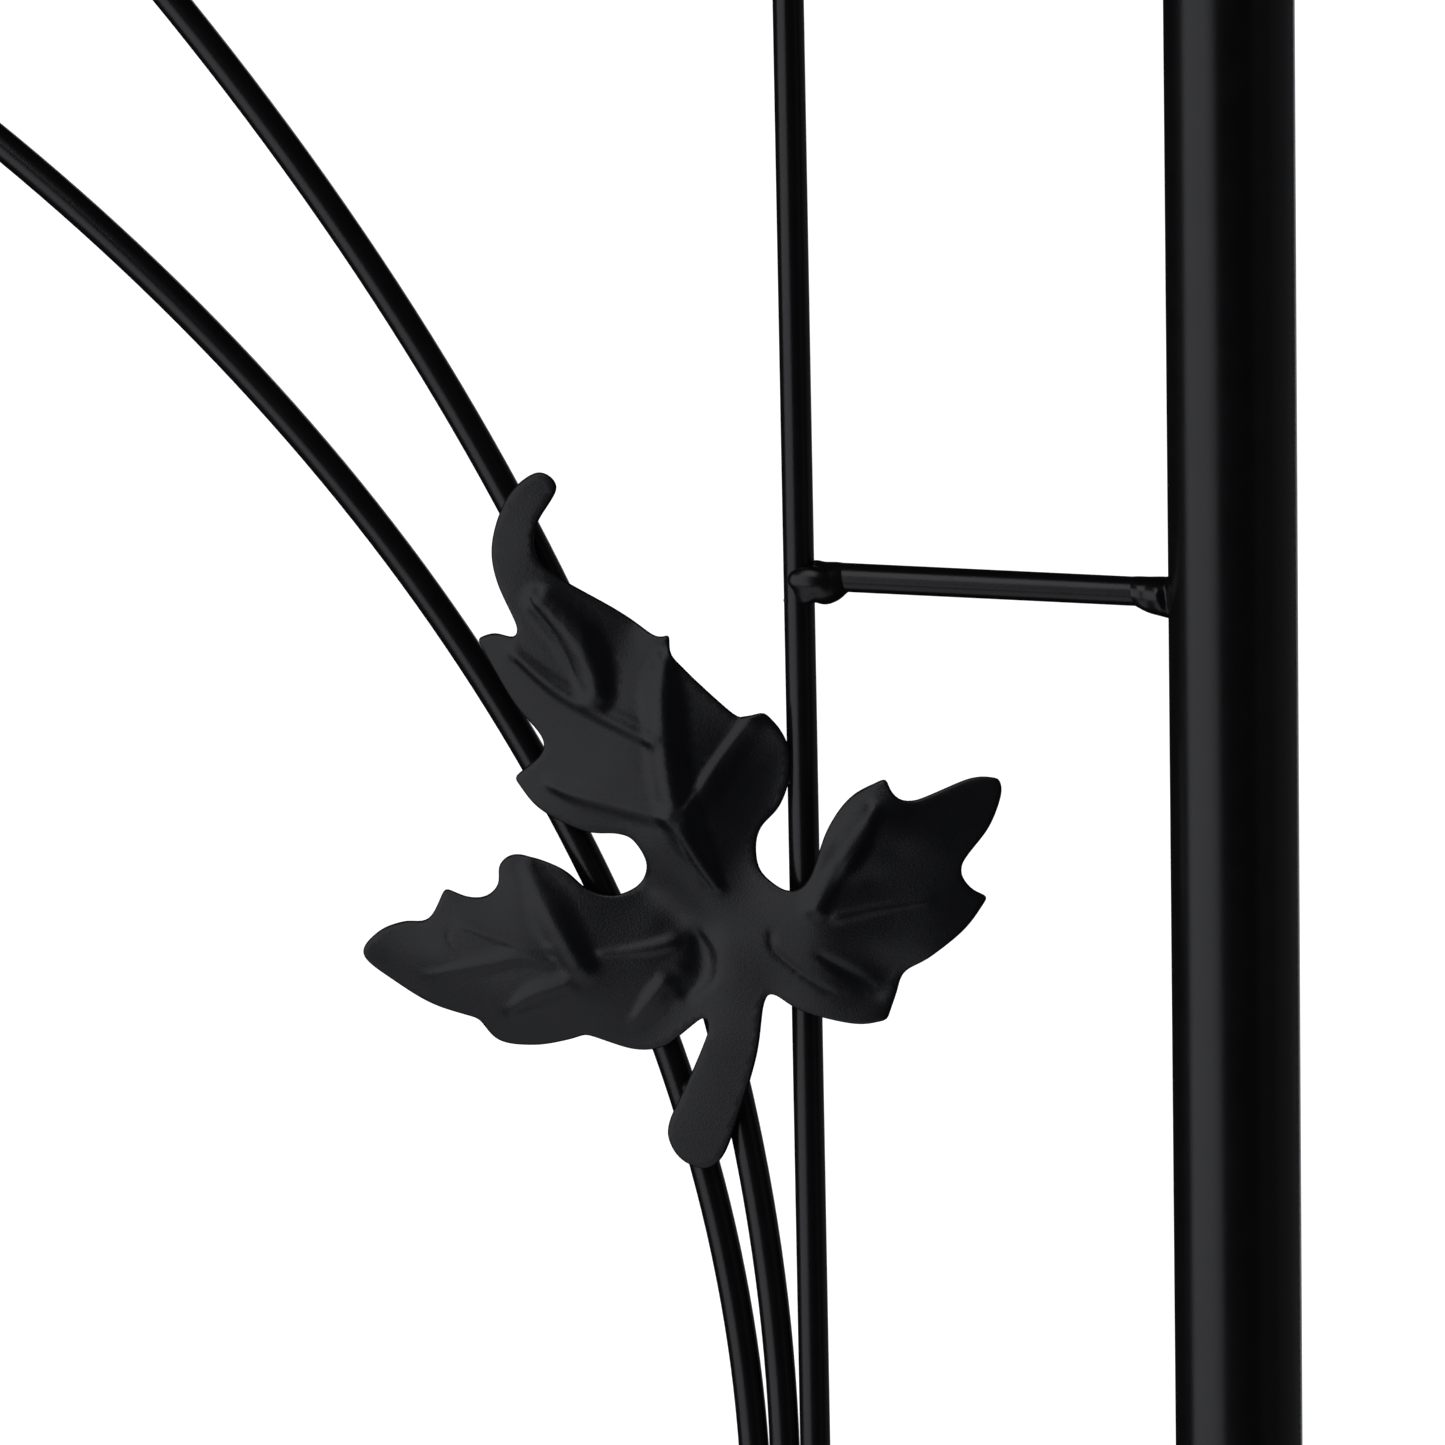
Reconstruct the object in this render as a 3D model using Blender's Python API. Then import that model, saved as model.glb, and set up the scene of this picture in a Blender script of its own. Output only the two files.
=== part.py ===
"""Metal trellis arch for a garden path: two side panels, a round roof in two halves, and leaf ornaments.

The origin is on the ground in the middle of the path. +Z is up, the path runs along Y, and the front is -Y.
Every quarter of the arch is a mirror image of the quarter at +X, +Y, so shapes are drawn there once.
"""

import math

import bmesh
import bpy
from mathutils import Vector
from mathutils.geometry import delaunay_2d_cdt

# Driving dimensions, in metres
PANEL_X = 0.680          # plane of a side panel, measured from the middle of the path
POST_Y = 0.2885          # post centre, front and rear of that middle
UPRIGHT_Y = 0.200        # thin upright of a side panel
SPRING_Z = 1.560         # where the round roof starts
TUBE_R = 0.0127          # posts and hoops are 25.4 mm tube
WALL = 0.0012
ROD_R = 0.003            # all the trellis work is 6 mm rod
GAP = 0.0003             # clearance between pieces that touch

# Side panel
PLATE_SIZE = 0.080
PLATE_T = 0.003
PLATE_CORNER = 0.012
PLATE_HOLE_R = 0.0035
PLATE_HOLE_AT = 0.028
RAIL_HEIGHTS = (0.120, 0.560, 1.000, 1.470)
RAIL_END_GAP = 0.0126    # from a post's axis to the end of a rail that lies beside that axis
ROD_BOTTOM = 0.105
UPRIGHT_TOP = 1.490
SPACER_Z = 1.224
VINE_PITCH = 0.0062      # the vines run side by side against the upright

# A vine leaves the upright as a quarter of an ellipse: (spring height, half width, half height)
LOW_VINE_ARC = (1.026, 0.574, 0.411)
HIGH_VINE_ARC = (1.035, 1.803, 0.833)
VINE_STEPS = 12

# Roof
HOOP_STEPS = 20
TUBE_SIDES = 12
SPIGOT_LENGTH = 0.040
SPIGOT_R = TUBE_R - WALL - GAP
PLUG_HALF_LENGTH = 0.045
RUNG_ANGLES = (8, 45, 82)
ROOF_ROD_START = 1.5     # degrees above the spring line
POST_SCREW_DROP = 0.020
CROWN_SCREW_X = 0.015
CROWN_SCREW_DROP = 0.0006  # the hoop has begun to fall away at that distance
SCREW_HOLE_R = 0.0023

# Screw: (radius, height above the underside of its head)
SCREW_PROFILE = (
    (0.0020, -0.0080),
    (0.0020, 0.0),
    (0.0040, 0.0),
    (0.0040, 0.0016),
    (0.0026, 0.0026),
)

# Leaf, in millimetres right of and above its heart, seen from the path with the post on the right.
# Each row is one smooth run of the edge, from a tooth or a notch to the next one, clockwise.
LEAF_FROM_UPRIGHT = 0.0131
LEAF_Z = 1.158
LEAF_BACK = ROD_R + GAP
LEAF_T = 0.001
LEAF_EDGE = (
    ((-53, 51), (-49, 52.5), (-45, 52), (-44, 54), (-48, 63), (-49, 70), (-47, 77.5), (-43.5, 83),
     (-38.5, 86), (-35, 83), (-39, 76), (-40, 72), (-39, 68), (-34, 64), (-24, 58.5), (-15.5, 53.5)),
    ((-12.5, 54), (-11, 49), (0.5, 38.5), (2.5, 38)),
    ((7, 39), (10, 35), (11.5, 30), (11, 24), (9, 19), (5.5, 15), (4.5, 11), (5.5, 6.5),
     (9.5, 3.5), (12.5, 3), (16, 5.5), (20, 16), (25, 23)),
    ((32, 27), (33.5, 24), (37.5, 22.5), (48.5, 27)),
    ((54, 27), (54.5, 24), (52, 17), (46.5, 9), (48, 4.5)),
    ((51.5, 2.5), (47, -4), (40, -10), (34.5, -13.5), (33, -18)),
    ((31.5, -23), (25, -24), (14, -22), (8, -19), (6, -21), (4, -32.5), (-1.5, -49), (-4.5, -55),
     (-8, -57), (-12.5, -55.5), (-15, -52), (-15, -47.5), (-10.5, -38), (-6, -27.5), (-7, -25),
     (-12, -29), (-16, -32), (-22.5, -33)),
    ((-32.5, -30.5), (-36.5, -32), (-43.5, -33.5), (-51, -33)),
    ((-55, -28.5), (-65, -26), (-73, -21.5), (-79, -16), (-75.5, -11), (-70, -8.5), (-64.5, -7.5)),
    ((-61, -1), (-56, -2.5), (-52, -2), (-49.5, 0.5)),
    ((-49.5, 4), (-48, 6), (-44.5, 7), (-36, 4.5), (-30.5, 0.5), (-25, -0.5), (-20, 2), (-18, 7),
     (-20.5, 11.5), (-24, 12.5), (-31, 12.5), (-40.5, 16.5)),
    ((-46, 22.5), (-39, 30), (-45.5, 38.5)),
)

# Raised veins of the leaf: (height in millimetres, points along it)
LEAF_VEINS = (
    (5.0, ((-6, 4), (-11, 14), (-15, 29), (-14, 44))),
    (3.0, ((-26, 40), (-29, 51), (-38, 59), (-43, 70))),
    (3.0, ((-24, 20), (-37, 22.5))),
    (3.0, ((-4, 24), (3, 34))),
    (5.0, ((18, -3), (24, 8), (31, 19))),
    (3.0, ((26, -12), (36, -1), (46, 1))),
    (4.5, ((-13, -10), (-29, -13), (-36, -16), (-48, -14), (-66, -16))),
    (2.5, ((-40, -8), (-46, 1))),
    (2.5, ((-42, -23), (-49, -28))),
    (1.0, ((2, -9), (-1, -24), (-7, -40), (-9, -52))),
)

X_AXIS = Vector((1, 0, 0))
Y_AXIS = Vector((0, 1, 0))
Z_AXIS = Vector((0, 0, 1))
SIDES = {"left": -1, "right": 1}
ENDS = {"front": -1, "rear": 1}


def clear_scene():
    for item in list(bpy.data.objects):
        bpy.data.objects.remove(item, do_unlink=True)


def make_material(name, color, roughness, metallic):
    material = bpy.data.materials.new(name)
    material.use_nodes = True
    shader = material.node_tree.nodes["Principled BSDF"]
    shader.inputs["Base Color"].default_value = (*color, 1.0)
    shader.inputs["Roughness"].default_value = roughness
    shader.inputs["Metallic"].default_value = metallic
    return material


def add_part(name, mesh, material, parent, location=(0, 0, 0), rotation=(0, 0, 0)):
    """One sub-part: an object with its own material, at world coordinates, held by a parent empty."""
    part = bpy.data.objects.new(name, mesh)
    bpy.context.collection.objects.link(part)
    if not mesh.materials:
        mesh.materials.append(material)
    part.location = Vector(location) - parent.location
    part.rotation_euler = rotation
    part.parent = parent
    return part


def add_empty(name, location):
    empty = bpy.data.objects.new(name, None)
    bpy.context.collection.objects.link(empty)
    empty.location = location
    return empty


# Meshes


def finish_mesh(bm, name, sharp_angle=40):
    bmesh.ops.recalc_face_normals(bm, faces=bm.faces)
    if bm.calc_volume(signed=True) < 0:
        bmesh.ops.reverse_faces(bm, faces=bm.faces)
    mesh = bpy.data.meshes.new(name)
    bm.to_mesh(mesh)
    bm.free()
    mesh.shade_smooth()
    mesh.set_sharp_from_angle(angle=math.radians(sharp_angle))
    return mesh


def mirrored(mesh, sx, sy):
    """A copy of a mesh drawn for the +X, +Y quarter, turned into the quarter given by two signs."""
    bm = bmesh.new()
    bm.from_mesh(mesh)
    for vert in bm.verts:
        vert.co.x *= sx
        vert.co.y *= sy
    return finish_mesh(bm, mesh.name)


def add_ring(bm, centre, tangent, binormal, radius, count):
    normal = binormal.cross(tangent).normalized()
    ring = []
    for step in range(count):
        angle = 2 * math.pi * (step + 0.5) / count
        offset = math.cos(angle) * normal + math.sin(angle) * binormal
        ring.append(bm.verts.new(centre + radius * offset))
    return ring


def skin(bm, rings):
    for lower, upper in zip(rings, rings[1:]):
        for i in range(len(lower)):
            j = (i + 1) % len(lower)
            bm.faces.new((lower[i], lower[j], upper[j], upper[i]))


def rod_mesh(name, path, binormal, radius=ROD_R, sides=8, end_y=None):
    """A solid bar along a path of (centre, tangent); end_y cuts its far end on that plane."""
    bm = bmesh.new()
    rings = [add_ring(bm, centre, tangent, binormal, radius, sides) for centre, tangent in path]
    if end_y is not None:
        tangent = path[-1][1]
        for vert in rings[-1]:
            vert.co += tangent * (end_y - vert.co.y) / tangent.y
    skin(bm, rings)
    bm.faces.new(rings[0])
    bm.faces.new(rings[-1])
    return finish_mesh(bm, name)


def tube_mesh(name, outer, inner, binormal, sides):
    """A pipe with open ends; outer and inner are lists of (centre, tangent, radius)."""
    bm = bmesh.new()
    outer_rings = [add_ring(bm, at, along, binormal, r, sides) for at, along, r in outer]
    inner_rings = [add_ring(bm, at, along, binormal, r, sides) for at, along, r in inner]
    skin(bm, outer_rings)
    skin(bm, inner_rings)
    skin(bm, [outer_rings[0], inner_rings[0]])
    skin(bm, [outer_rings[-1], inner_rings[-1]])
    return finish_mesh(bm, name)


def straight_rod_mesh(name, length, radius=ROD_R, sides=8):
    """A bar along +Z from its own origin."""
    path = [(Z_AXIS * 0, Z_AXIS), (Z_AXIS * length, Z_AXIS)]
    return rod_mesh(name, path, X_AXIS, radius, sides)


def turned_mesh(name, profile, sides=12):
    """A solid turned about Z from (radius, height) pairs."""
    bm = bmesh.new()
    rings = [add_ring(bm, Z_AXIS * height, Z_AXIS, X_AXIS, r, sides) for r, height in profile]
    skin(bm, rings)
    bm.faces.new(rings[0])
    bm.faces.new(rings[-1])
    return finish_mesh(bm, name)


def cut(part, tool):
    modifier = part.modifiers.new("hole", "BOOLEAN")
    modifier.operation = "DIFFERENCE"
    modifier.solver = "EXACT"
    modifier.object = tool


def as_cutter(tool):
    tool.hide_render = True
    tool.display_type = "WIRE"
    return tool


# Curves of the arch


def vine_path(offset, arc, end_y):
    """Straight up beside the upright, then away from it along a quarter ellipse to the panel's middle."""
    spring, half_width, half_height = arc
    start_y = UPRIGHT_Y - offset
    reach = (start_y - end_y) / half_width
    last = math.acos(1 - reach)
    path = [(Vector((0, start_y, ROD_BOTTOM)), Z_AXIS)]
    for step in range(VINE_STEPS + 1):
        turn = last * step / VINE_STEPS
        y = start_y - half_width * (1 - math.cos(turn))
        z = spring + half_height * math.sin(turn)
        tangent = Vector((0, -half_width * math.sin(turn), half_height * math.cos(turn)))
        path.append((Vector((0, y, z)), tangent.normalized()))
    return path


def roof_point(angle, radius=PANEL_X):
    """A point of the roof's round line and the direction along it, angle in radians from the spring."""
    centre = Vector((radius * math.cos(angle), 0, radius * math.sin(angle)))
    tangent = Vector((-math.sin(angle), 0, math.cos(angle)))
    return centre, tangent


def roof_path(start, end, steps):
    return [roof_point(start + (end - start) * step / steps) for step in range(steps + 1)]


def hoop_mesh():
    """Half of a roof hoop: a quarter circle of tube with a narrowed end that drops into the post."""
    crown = math.pi / 2 - GAP / 2 / PANEL_X
    arc = roof_path(0, crown, HOOP_STEPS)
    start = roof_point(0)[0]
    foot = start - Z_AXIS * SPIGOT_LENGTH
    outer = [(foot, Z_AXIS, SPIGOT_R), (start, Z_AXIS, SPIGOT_R)]
    outer += [(at, along, TUBE_R) for at, along in arc]
    shoulder = roof_point(2 * WALL / PANEL_X)
    inner = [(foot, Z_AXIS, SPIGOT_R - WALL), (*shoulder, SPIGOT_R - WALL)]
    inner += [(*shoulder, TUBE_R - WALL)]
    inner += [(at, along, TUBE_R - WALL) for at, along in arc[1:]]
    return tube_mesh("hoop_half", outer, inner, Y_AXIS, sides=TUBE_SIDES)


def crown_plug_mesh():
    """A short sleeve inside the hoop's two halves, bent at the crown like them."""
    crown = roof_point(math.pi / 2)
    last_bend = roof_point(math.pi / 2 * (1 - 1 / HOOP_STEPS))[0]
    along = (crown[0] - last_bend).normalized()
    end = crown[0] - along * PLUG_HALF_LENGTH
    path = [(end, along), crown, (end * Vector((-1, 1, 1)), along * Vector((1, 1, -1)))]
    outer = [(at, along, SPIGOT_R) for at, along in path]
    inner = [(at, along, SPIGOT_R - WALL) for at, along in path]
    return tube_mesh("crown_plug", outer, inner, Y_AXIS, sides=TUBE_SIDES)


def post_mesh():
    bottom = Z_AXIS * (PLATE_T + GAP)
    top = Z_AXIS * (SPRING_Z - GAP)
    outer = [(bottom, Z_AXIS, TUBE_R), (top, Z_AXIS, TUBE_R)]
    inner = [(bottom, Z_AXIS, TUBE_R - WALL), (top, Z_AXIS, TUBE_R - WALL)]
    return tube_mesh("post", outer, inner, Y_AXIS, sides=TUBE_SIDES)


def foot_plate_mesh():
    """A square plate with round corners."""
    bm = bmesh.new()
    corner_at = PLATE_SIZE / 2 - PLATE_CORNER
    outline = []
    for quarter, (sx, sy) in enumerate(((1, 1), (-1, 1), (-1, -1), (1, -1))):
        for step in range(4):
            angle = math.radians(90 * quarter + 30 * step)
            x = sx * corner_at + PLATE_CORNER * math.cos(angle)
            y = sy * corner_at + PLATE_CORNER * math.sin(angle)
            outline.append((x, y))
    rings = []
    for z in (0, PLATE_T):
        rings.append([bm.verts.new((x, y, z)) for x, y in outline])
    skin(bm, rings)
    bm.faces.new(rings[0])
    bm.faces.new(rings[1])
    return finish_mesh(bm, "foot_plate")


def plate_hole_mesh():
    """Four short bars, one for each screw hole of a foot plate."""
    bm = bmesh.new()
    for sx in (-1, 1):
        for sy in (-1, 1):
            at = Vector((sx * PLATE_HOLE_AT, sy * PLATE_HOLE_AT, 0))
            ends = (at - Z_AXIS * PLATE_T, at + Z_AXIS * 2 * PLATE_T)
            rings = [add_ring(bm, end, Z_AXIS, X_AXIS, PLATE_HOLE_R, 10) for end in ends]
            skin(bm, rings)
            bm.faces.new(rings[0])
            bm.faces.new(rings[1])
    return finish_mesh(bm, "plate_holes")


def leaf_mesh():
    """A stamped sheet leaf: its edge lies flat and its veins stand out towards the path."""
    points = [Vector(point) for run in LEAF_EDGE for point in run]
    heights = [0.0] * len(points)
    edges = [(i, (i + 1) % len(points)) for i in range(len(points))]
    for height, vein in LEAF_VEINS:
        first = len(points)
        points += [Vector(point) for point in vein]
        heights += [height] * len(vein)
        edges += [(i, i + 1) for i in range(first, first + len(vein) - 1)]
    flat, _, faces, origins, _, _ = delaunay_2d_cdt(points, edges, [], 1, 1e-4)
    bm = bmesh.new()
    layers = []
    for back in (LEAF_BACK, LEAF_BACK + LEAF_T):
        layer = []
        for point, sources in zip(flat, origins):
            height = heights[sources[0]] if sources else 0.0
            x = -back - height / 1000
            layer.append(bm.verts.new((x, point.x / 1000, point.y / 1000)))
        layers.append(layer)
    rim = {}
    for face in faces:
        for layer in layers:
            bm.faces.new([layer[i] for i in face])
        for i, j in zip(face, face[1:] + face[:1]):
            key = (min(i, j), max(i, j))
            rim[key] = rim.get(key, 0) + 1
    for (i, j), uses in rim.items():
        if uses == 1:
            bm.faces.new((layers[0][i], layers[0][j], layers[1][j], layers[1][i]))
    return finish_mesh(bm, "leaf", sharp_angle=50)


# Assembly


def build_side_panel(side, sx, arch, finishes):
    """Two posts on their plates, the thin uprights, the rails behind them, vines and leaves."""
    panel = add_empty(side + "_panel", (sx * PANEL_X, 0, 0))
    panel.parent = arch
    rod_paint = finishes["rod"]

    rail_length = 2 * (POST_Y - RAIL_END_GAP)
    rail = straight_rod_mesh(side + "_rail", rail_length)
    rail_x = sx * (PANEL_X + 2 * ROD_R + GAP)
    for number, height in enumerate(RAIL_HEIGHTS, start=1):
        place = (rail_x, rail_length / 2, height)
        add_part(f"{side}_rail_{number}", rail, rod_paint, panel, place, (math.pi / 2, 0, 0))

    post = post_mesh()
    plate = foot_plate_mesh()
    holes = plate_hole_mesh()
    upright = straight_rod_mesh("upright", UPRIGHT_TOP - ROD_BOTTOM)
    spacer_length = POST_Y - TUBE_R - UPRIGHT_Y - ROD_R - 2 * GAP
    spacer = straight_rod_mesh("spacer", spacer_length)
    vines = {}
    for kind, offset, arc in (
        ("high_vine", VINE_PITCH, HIGH_VINE_ARC),
        ("low_vine", 2 * VINE_PITCH, LOW_VINE_ARC),
    ):
        path = vine_path(offset, arc, ROD_R)
        vines[kind] = rod_mesh(kind, path, X_AXIS, end_y=GAP / 2)
    leaf = leaf_mesh()
    leaf_y = UPRIGHT_Y - LEAF_FROM_UPRIGHT

    for end, sy in ENDS.items():
        corner = f"{side}_{end}"
        foot = (sx * PANEL_X, sy * POST_Y, 0)
        post_part = add_part(corner + "_post", post.copy(), finishes["tube"], panel, foot)
        plate_part = add_part(corner + "_foot_plate", plate.copy(), finishes["plate"], panel, foot)
        holes_part = add_part(corner + "_plate_holes", holes, finishes["plate"], panel, foot)
        cut(plate_part, as_cutter(holes_part))
        cut(post_part, finishes["post_drills"][corner])

        place = (sx * PANEL_X, sy * UPRIGHT_Y, ROD_BOTTOM)
        add_part(corner + "_upright", upright, rod_paint, panel, place)
        place = (sx * PANEL_X, sy * (UPRIGHT_Y + ROD_R + GAP), SPACER_Z)
        add_part(corner + "_spacer", spacer, rod_paint, panel, place, (-sy * math.pi / 2, 0, 0))
        for kind, mesh in vines.items():
            place = (sx * PANEL_X, 0, 0)
            add_part(f"{corner}_{kind}", mirrored(mesh, sx, sy), rod_paint, panel, place)
        place = (sx * PANEL_X, sy * leaf_y, LEAF_Z)
        add_part(corner + "_leaf", mirrored(leaf, sx, sy), finishes["leaf"], panel, place)


def build_roof(arch, finishes):
    """Two hoops in halves, the sleeves that join them, the thin rods inside, rungs and screws."""
    roof = add_empty("roof", (0, 0, SPRING_Z))
    roof.parent = arch
    hoop = hoop_mesh()
    crown = math.pi / 2 - GAP / 2 / PANEL_X
    roof_rod = rod_mesh("roof_rod", roof_path(math.radians(ROOF_ROD_START), crown, HOOP_STEPS), Y_AXIS)
    plug = crown_plug_mesh()
    rung_length = 2 * (POST_Y - RAIL_END_GAP)
    rung = straight_rod_mesh("rung", rung_length)
    screw = turned_mesh("screw", SCREW_PROFILE)
    screw_out = TUBE_R + GAP
    post_screw_z = SPRING_Z - POST_SCREW_DROP
    crown_screw_z = SPRING_Z + PANEL_X - screw_out - CROWN_SCREW_DROP

    plugs = {}
    for end, sy in ENDS.items():
        place = (0, sy * POST_Y, SPRING_Z)
        plugs[end] = add_part(end + "_crown_plug", plug.copy(), finishes["tube"], roof, place)

    for side, sx in SIDES.items():
        for number, angle in enumerate(RUNG_ANGLES, start=1):
            centre, _ = roof_point(math.radians(angle), PANEL_X + 2 * ROD_R + GAP)
            place = (sx * centre.x, rung_length / 2, SPRING_Z + centre.z)
            add_part(f"{side}_rung_{number}", rung, finishes["rod"], roof, place, (math.pi / 2, 0, 0))
        for end, sy in ENDS.items():
            corner = f"{side}_{end}"
            place = (0, sy * POST_Y, SPRING_Z)
            half = add_part(corner + "_hoop", mirrored(hoop, sx, 1), finishes["tube"], roof, place)
            place = (0, sy * UPRIGHT_Y, SPRING_Z)
            add_part(corner + "_roof_rod", mirrored(roof_rod, sx, 1), finishes["rod"], roof, place)

            place = (sx * (PANEL_X + screw_out), sy * POST_Y, post_screw_z)
            turn = (0, sx * math.pi / 2, 0)
            add_part(corner + "_post_screw", screw, finishes["screw"], roof, place, turn)
            cut(half, finishes["post_drills"][corner])

            place = (sx * CROWN_SCREW_X, sy * POST_Y, crown_screw_z)
            add_part(corner + "_crown_screw", screw, finishes["screw"], roof, place, (math.pi, 0, 0))
            cut(half, finishes["crown_drills"][corner])
            cut(plugs[end], finishes["crown_drills"][corner])


def build_drills(arch, finishes):
    """The bars that cut the screw holes, one at each tube joint."""
    depth = TUBE_R
    drill = straight_rod_mesh("drill", 2 * depth, SCREW_HOLE_R, 10)
    post_drills = {}
    crown_drills = {}
    for side, sx in SIDES.items():
        for end, sy in ENDS.items():
            corner = f"{side}_{end}"
            place = (sx * (PANEL_X + depth / 2), sy * POST_Y, SPRING_Z - POST_SCREW_DROP)
            turn = (0, sx * math.pi / 2, 0)
            tool = add_part(corner + "_post_drill", drill, finishes["screw"], arch, place, turn)
            post_drills[corner] = as_cutter(tool)
            place = (sx * CROWN_SCREW_X, sy * POST_Y, SPRING_Z + PANEL_X - depth / 2)
            turn = (math.pi, 0, 0)
            tool = add_part(corner + "_crown_drill", drill, finishes["screw"], arch, place, turn)
            crown_drills[corner] = as_cutter(tool)
    return post_drills, crown_drills


def main():
    clear_scene()
    arch = add_empty("garden_arch", (0, 0, 0))
    black = (0.022, 0.022, 0.025)
    finishes = {
        "tube": make_material("satin_black_tube", black, 0.32, 0.0),
        "rod": make_material("satin_black_rod", black, 0.30, 0.0),
        "leaf": make_material("satin_black_leaf", (0.026, 0.027, 0.030), 0.38, 0.0),
        "plate": make_material("satin_black_plate", black, 0.40, 0.0),
        "screw": make_material("black_oxide_screw", (0.03, 0.03, 0.032), 0.35, 1.0),
    }
    post_drills, crown_drills = build_drills(arch, finishes)
    finishes["post_drills"] = post_drills
    finishes["crown_drills"] = crown_drills
    for side, sx in SIDES.items():
        build_side_panel(side, sx, arch, finishes)
    build_roof(arch, finishes)


main()
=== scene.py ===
"""Looks of the metal trellis arch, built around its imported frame.

The arch is powder-coated steel. The tubes, rods, foot plates, screws and stamped leaves are drawn again here,
rounder and finer than the solids they stand for, and the welds that hold them are added as beads.
Lengths are in metres, but leaves and welds are written down in millimetres. Curved rods, leaves and welds are
drawn for the corner of the arch at +X, +Y and mirrored.
"""

import math

import bmesh
import bpy
import numpy as np
from mathutils import Matrix, Vector, kdtree
from mathutils.geometry import delaunay_2d_cdt


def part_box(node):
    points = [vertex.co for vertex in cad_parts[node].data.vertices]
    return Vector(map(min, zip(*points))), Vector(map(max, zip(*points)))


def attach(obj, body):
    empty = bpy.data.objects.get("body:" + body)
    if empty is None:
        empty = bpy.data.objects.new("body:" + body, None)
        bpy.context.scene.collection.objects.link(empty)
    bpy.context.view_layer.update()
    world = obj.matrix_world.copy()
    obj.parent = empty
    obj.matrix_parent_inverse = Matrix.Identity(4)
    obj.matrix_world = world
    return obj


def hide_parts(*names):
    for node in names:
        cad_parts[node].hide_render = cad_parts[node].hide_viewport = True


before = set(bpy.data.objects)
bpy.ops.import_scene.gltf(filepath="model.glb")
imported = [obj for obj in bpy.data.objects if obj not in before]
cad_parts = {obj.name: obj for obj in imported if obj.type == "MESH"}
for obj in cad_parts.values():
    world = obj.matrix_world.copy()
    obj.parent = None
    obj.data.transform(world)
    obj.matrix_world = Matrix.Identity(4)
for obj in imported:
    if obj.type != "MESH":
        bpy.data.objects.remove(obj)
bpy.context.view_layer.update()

MM_IN_M = 1000
TINY = 1e-9              # keeps a division or a logarithm off zero

X_AXIS = Vector((1, 0, 0))
Y_AXIS = Vector((0, 1, 0))
Z_AXIS = Vector((0, 0, 1))
SIDES = {"left": -1, "right": 1}
ENDS = {"front": -1, "rear": 1}

# Stock sizes; the places of the pieces come from the frame
TUBE_R = 0.0127
WALL = 0.0012
BORE = TUBE_R - WALL
ROD_R = 0.003
ROD_COATED_R = 0.0031
SPACER_R = 0.0029
GAP = 0.0003             # between the solids of the frame
ROD_SIDES = 32
TUBE_SIDES = 72
CUT_EDGE = 0.0004        # broken edge of a sawn end

# Edges sharper than this stay sharp when a mesh is shaded smooth, in degrees
CREASE = 35
LEAF_CREASE = 70
WELD_CREASE = 80

# The numbers of the rails of a panel, and of the rungs of one side of the roof
RAILS = range(1, 5)
RUNGS = range(1, 4)

# A vine leaves the upright along the arc of an ellipse: (spring height, half width, half height)
VINE_ARCS = {
    "low_vine": (1.026, 0.574, 0.411),
    "high_vine": (1.035, 1.803, 0.833),
}
VINE_STEPS = 72

# Round roof: the narrowed end of a hoop half, and how far the lowest point of a thin rod's cut end lies below
# the middle of it, as a share of its radius
SPIGOT_LENGTH = 0.040
SPIGOT_R = BORE - GAP
ROOF_ROD_DROP = 0.03
ARC_STEPS = 72

# Foot plate
PLATE_CORNER = 0.012
PLATE_HOLE_AT = 0.028
PLATE_HOLE_R = 0.0035
PLATE_EDGE = 0.0006
EDGE_SEGMENTS = 3
EDGE_ANGLE = 40          # degrees; flatter edges aren't rounded over
PLATE_CORNER_STEPS = 8
PLATE_HOLE_SIDES = 40
DRILL_PAST = 0.002       # how far a drill stands out of the plate

# Pan head screw: (radius, height above the underside of its head)
SCREW_PROFILE = (
    (0.0020, -0.0080),
    (0.0020, 0.0),
    (0.0034, 0.0),
    (0.0039, 0.0003),
    (0.0040, 0.0010),
    (0.0038, 0.0017),
    (0.0031, 0.0023),
    (0.0020, 0.0026),
)
SCREW_SIDES = 40
SCREW_CREASE = 30
# Its cross recess: half length of the cross, width of its arms, depth, and what is left of both at its floor
RECESS_ARM = 0.0019
RECESS_WIDTH = 0.0007
RECESS_DEPTH = 0.0012
RECESS_FLOOR_ARM = 0.55
RECESS_FLOOR_WIDTH = 0.6
RECESS_PAST = 0.001      # how far its cutter stands out of the head

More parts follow.
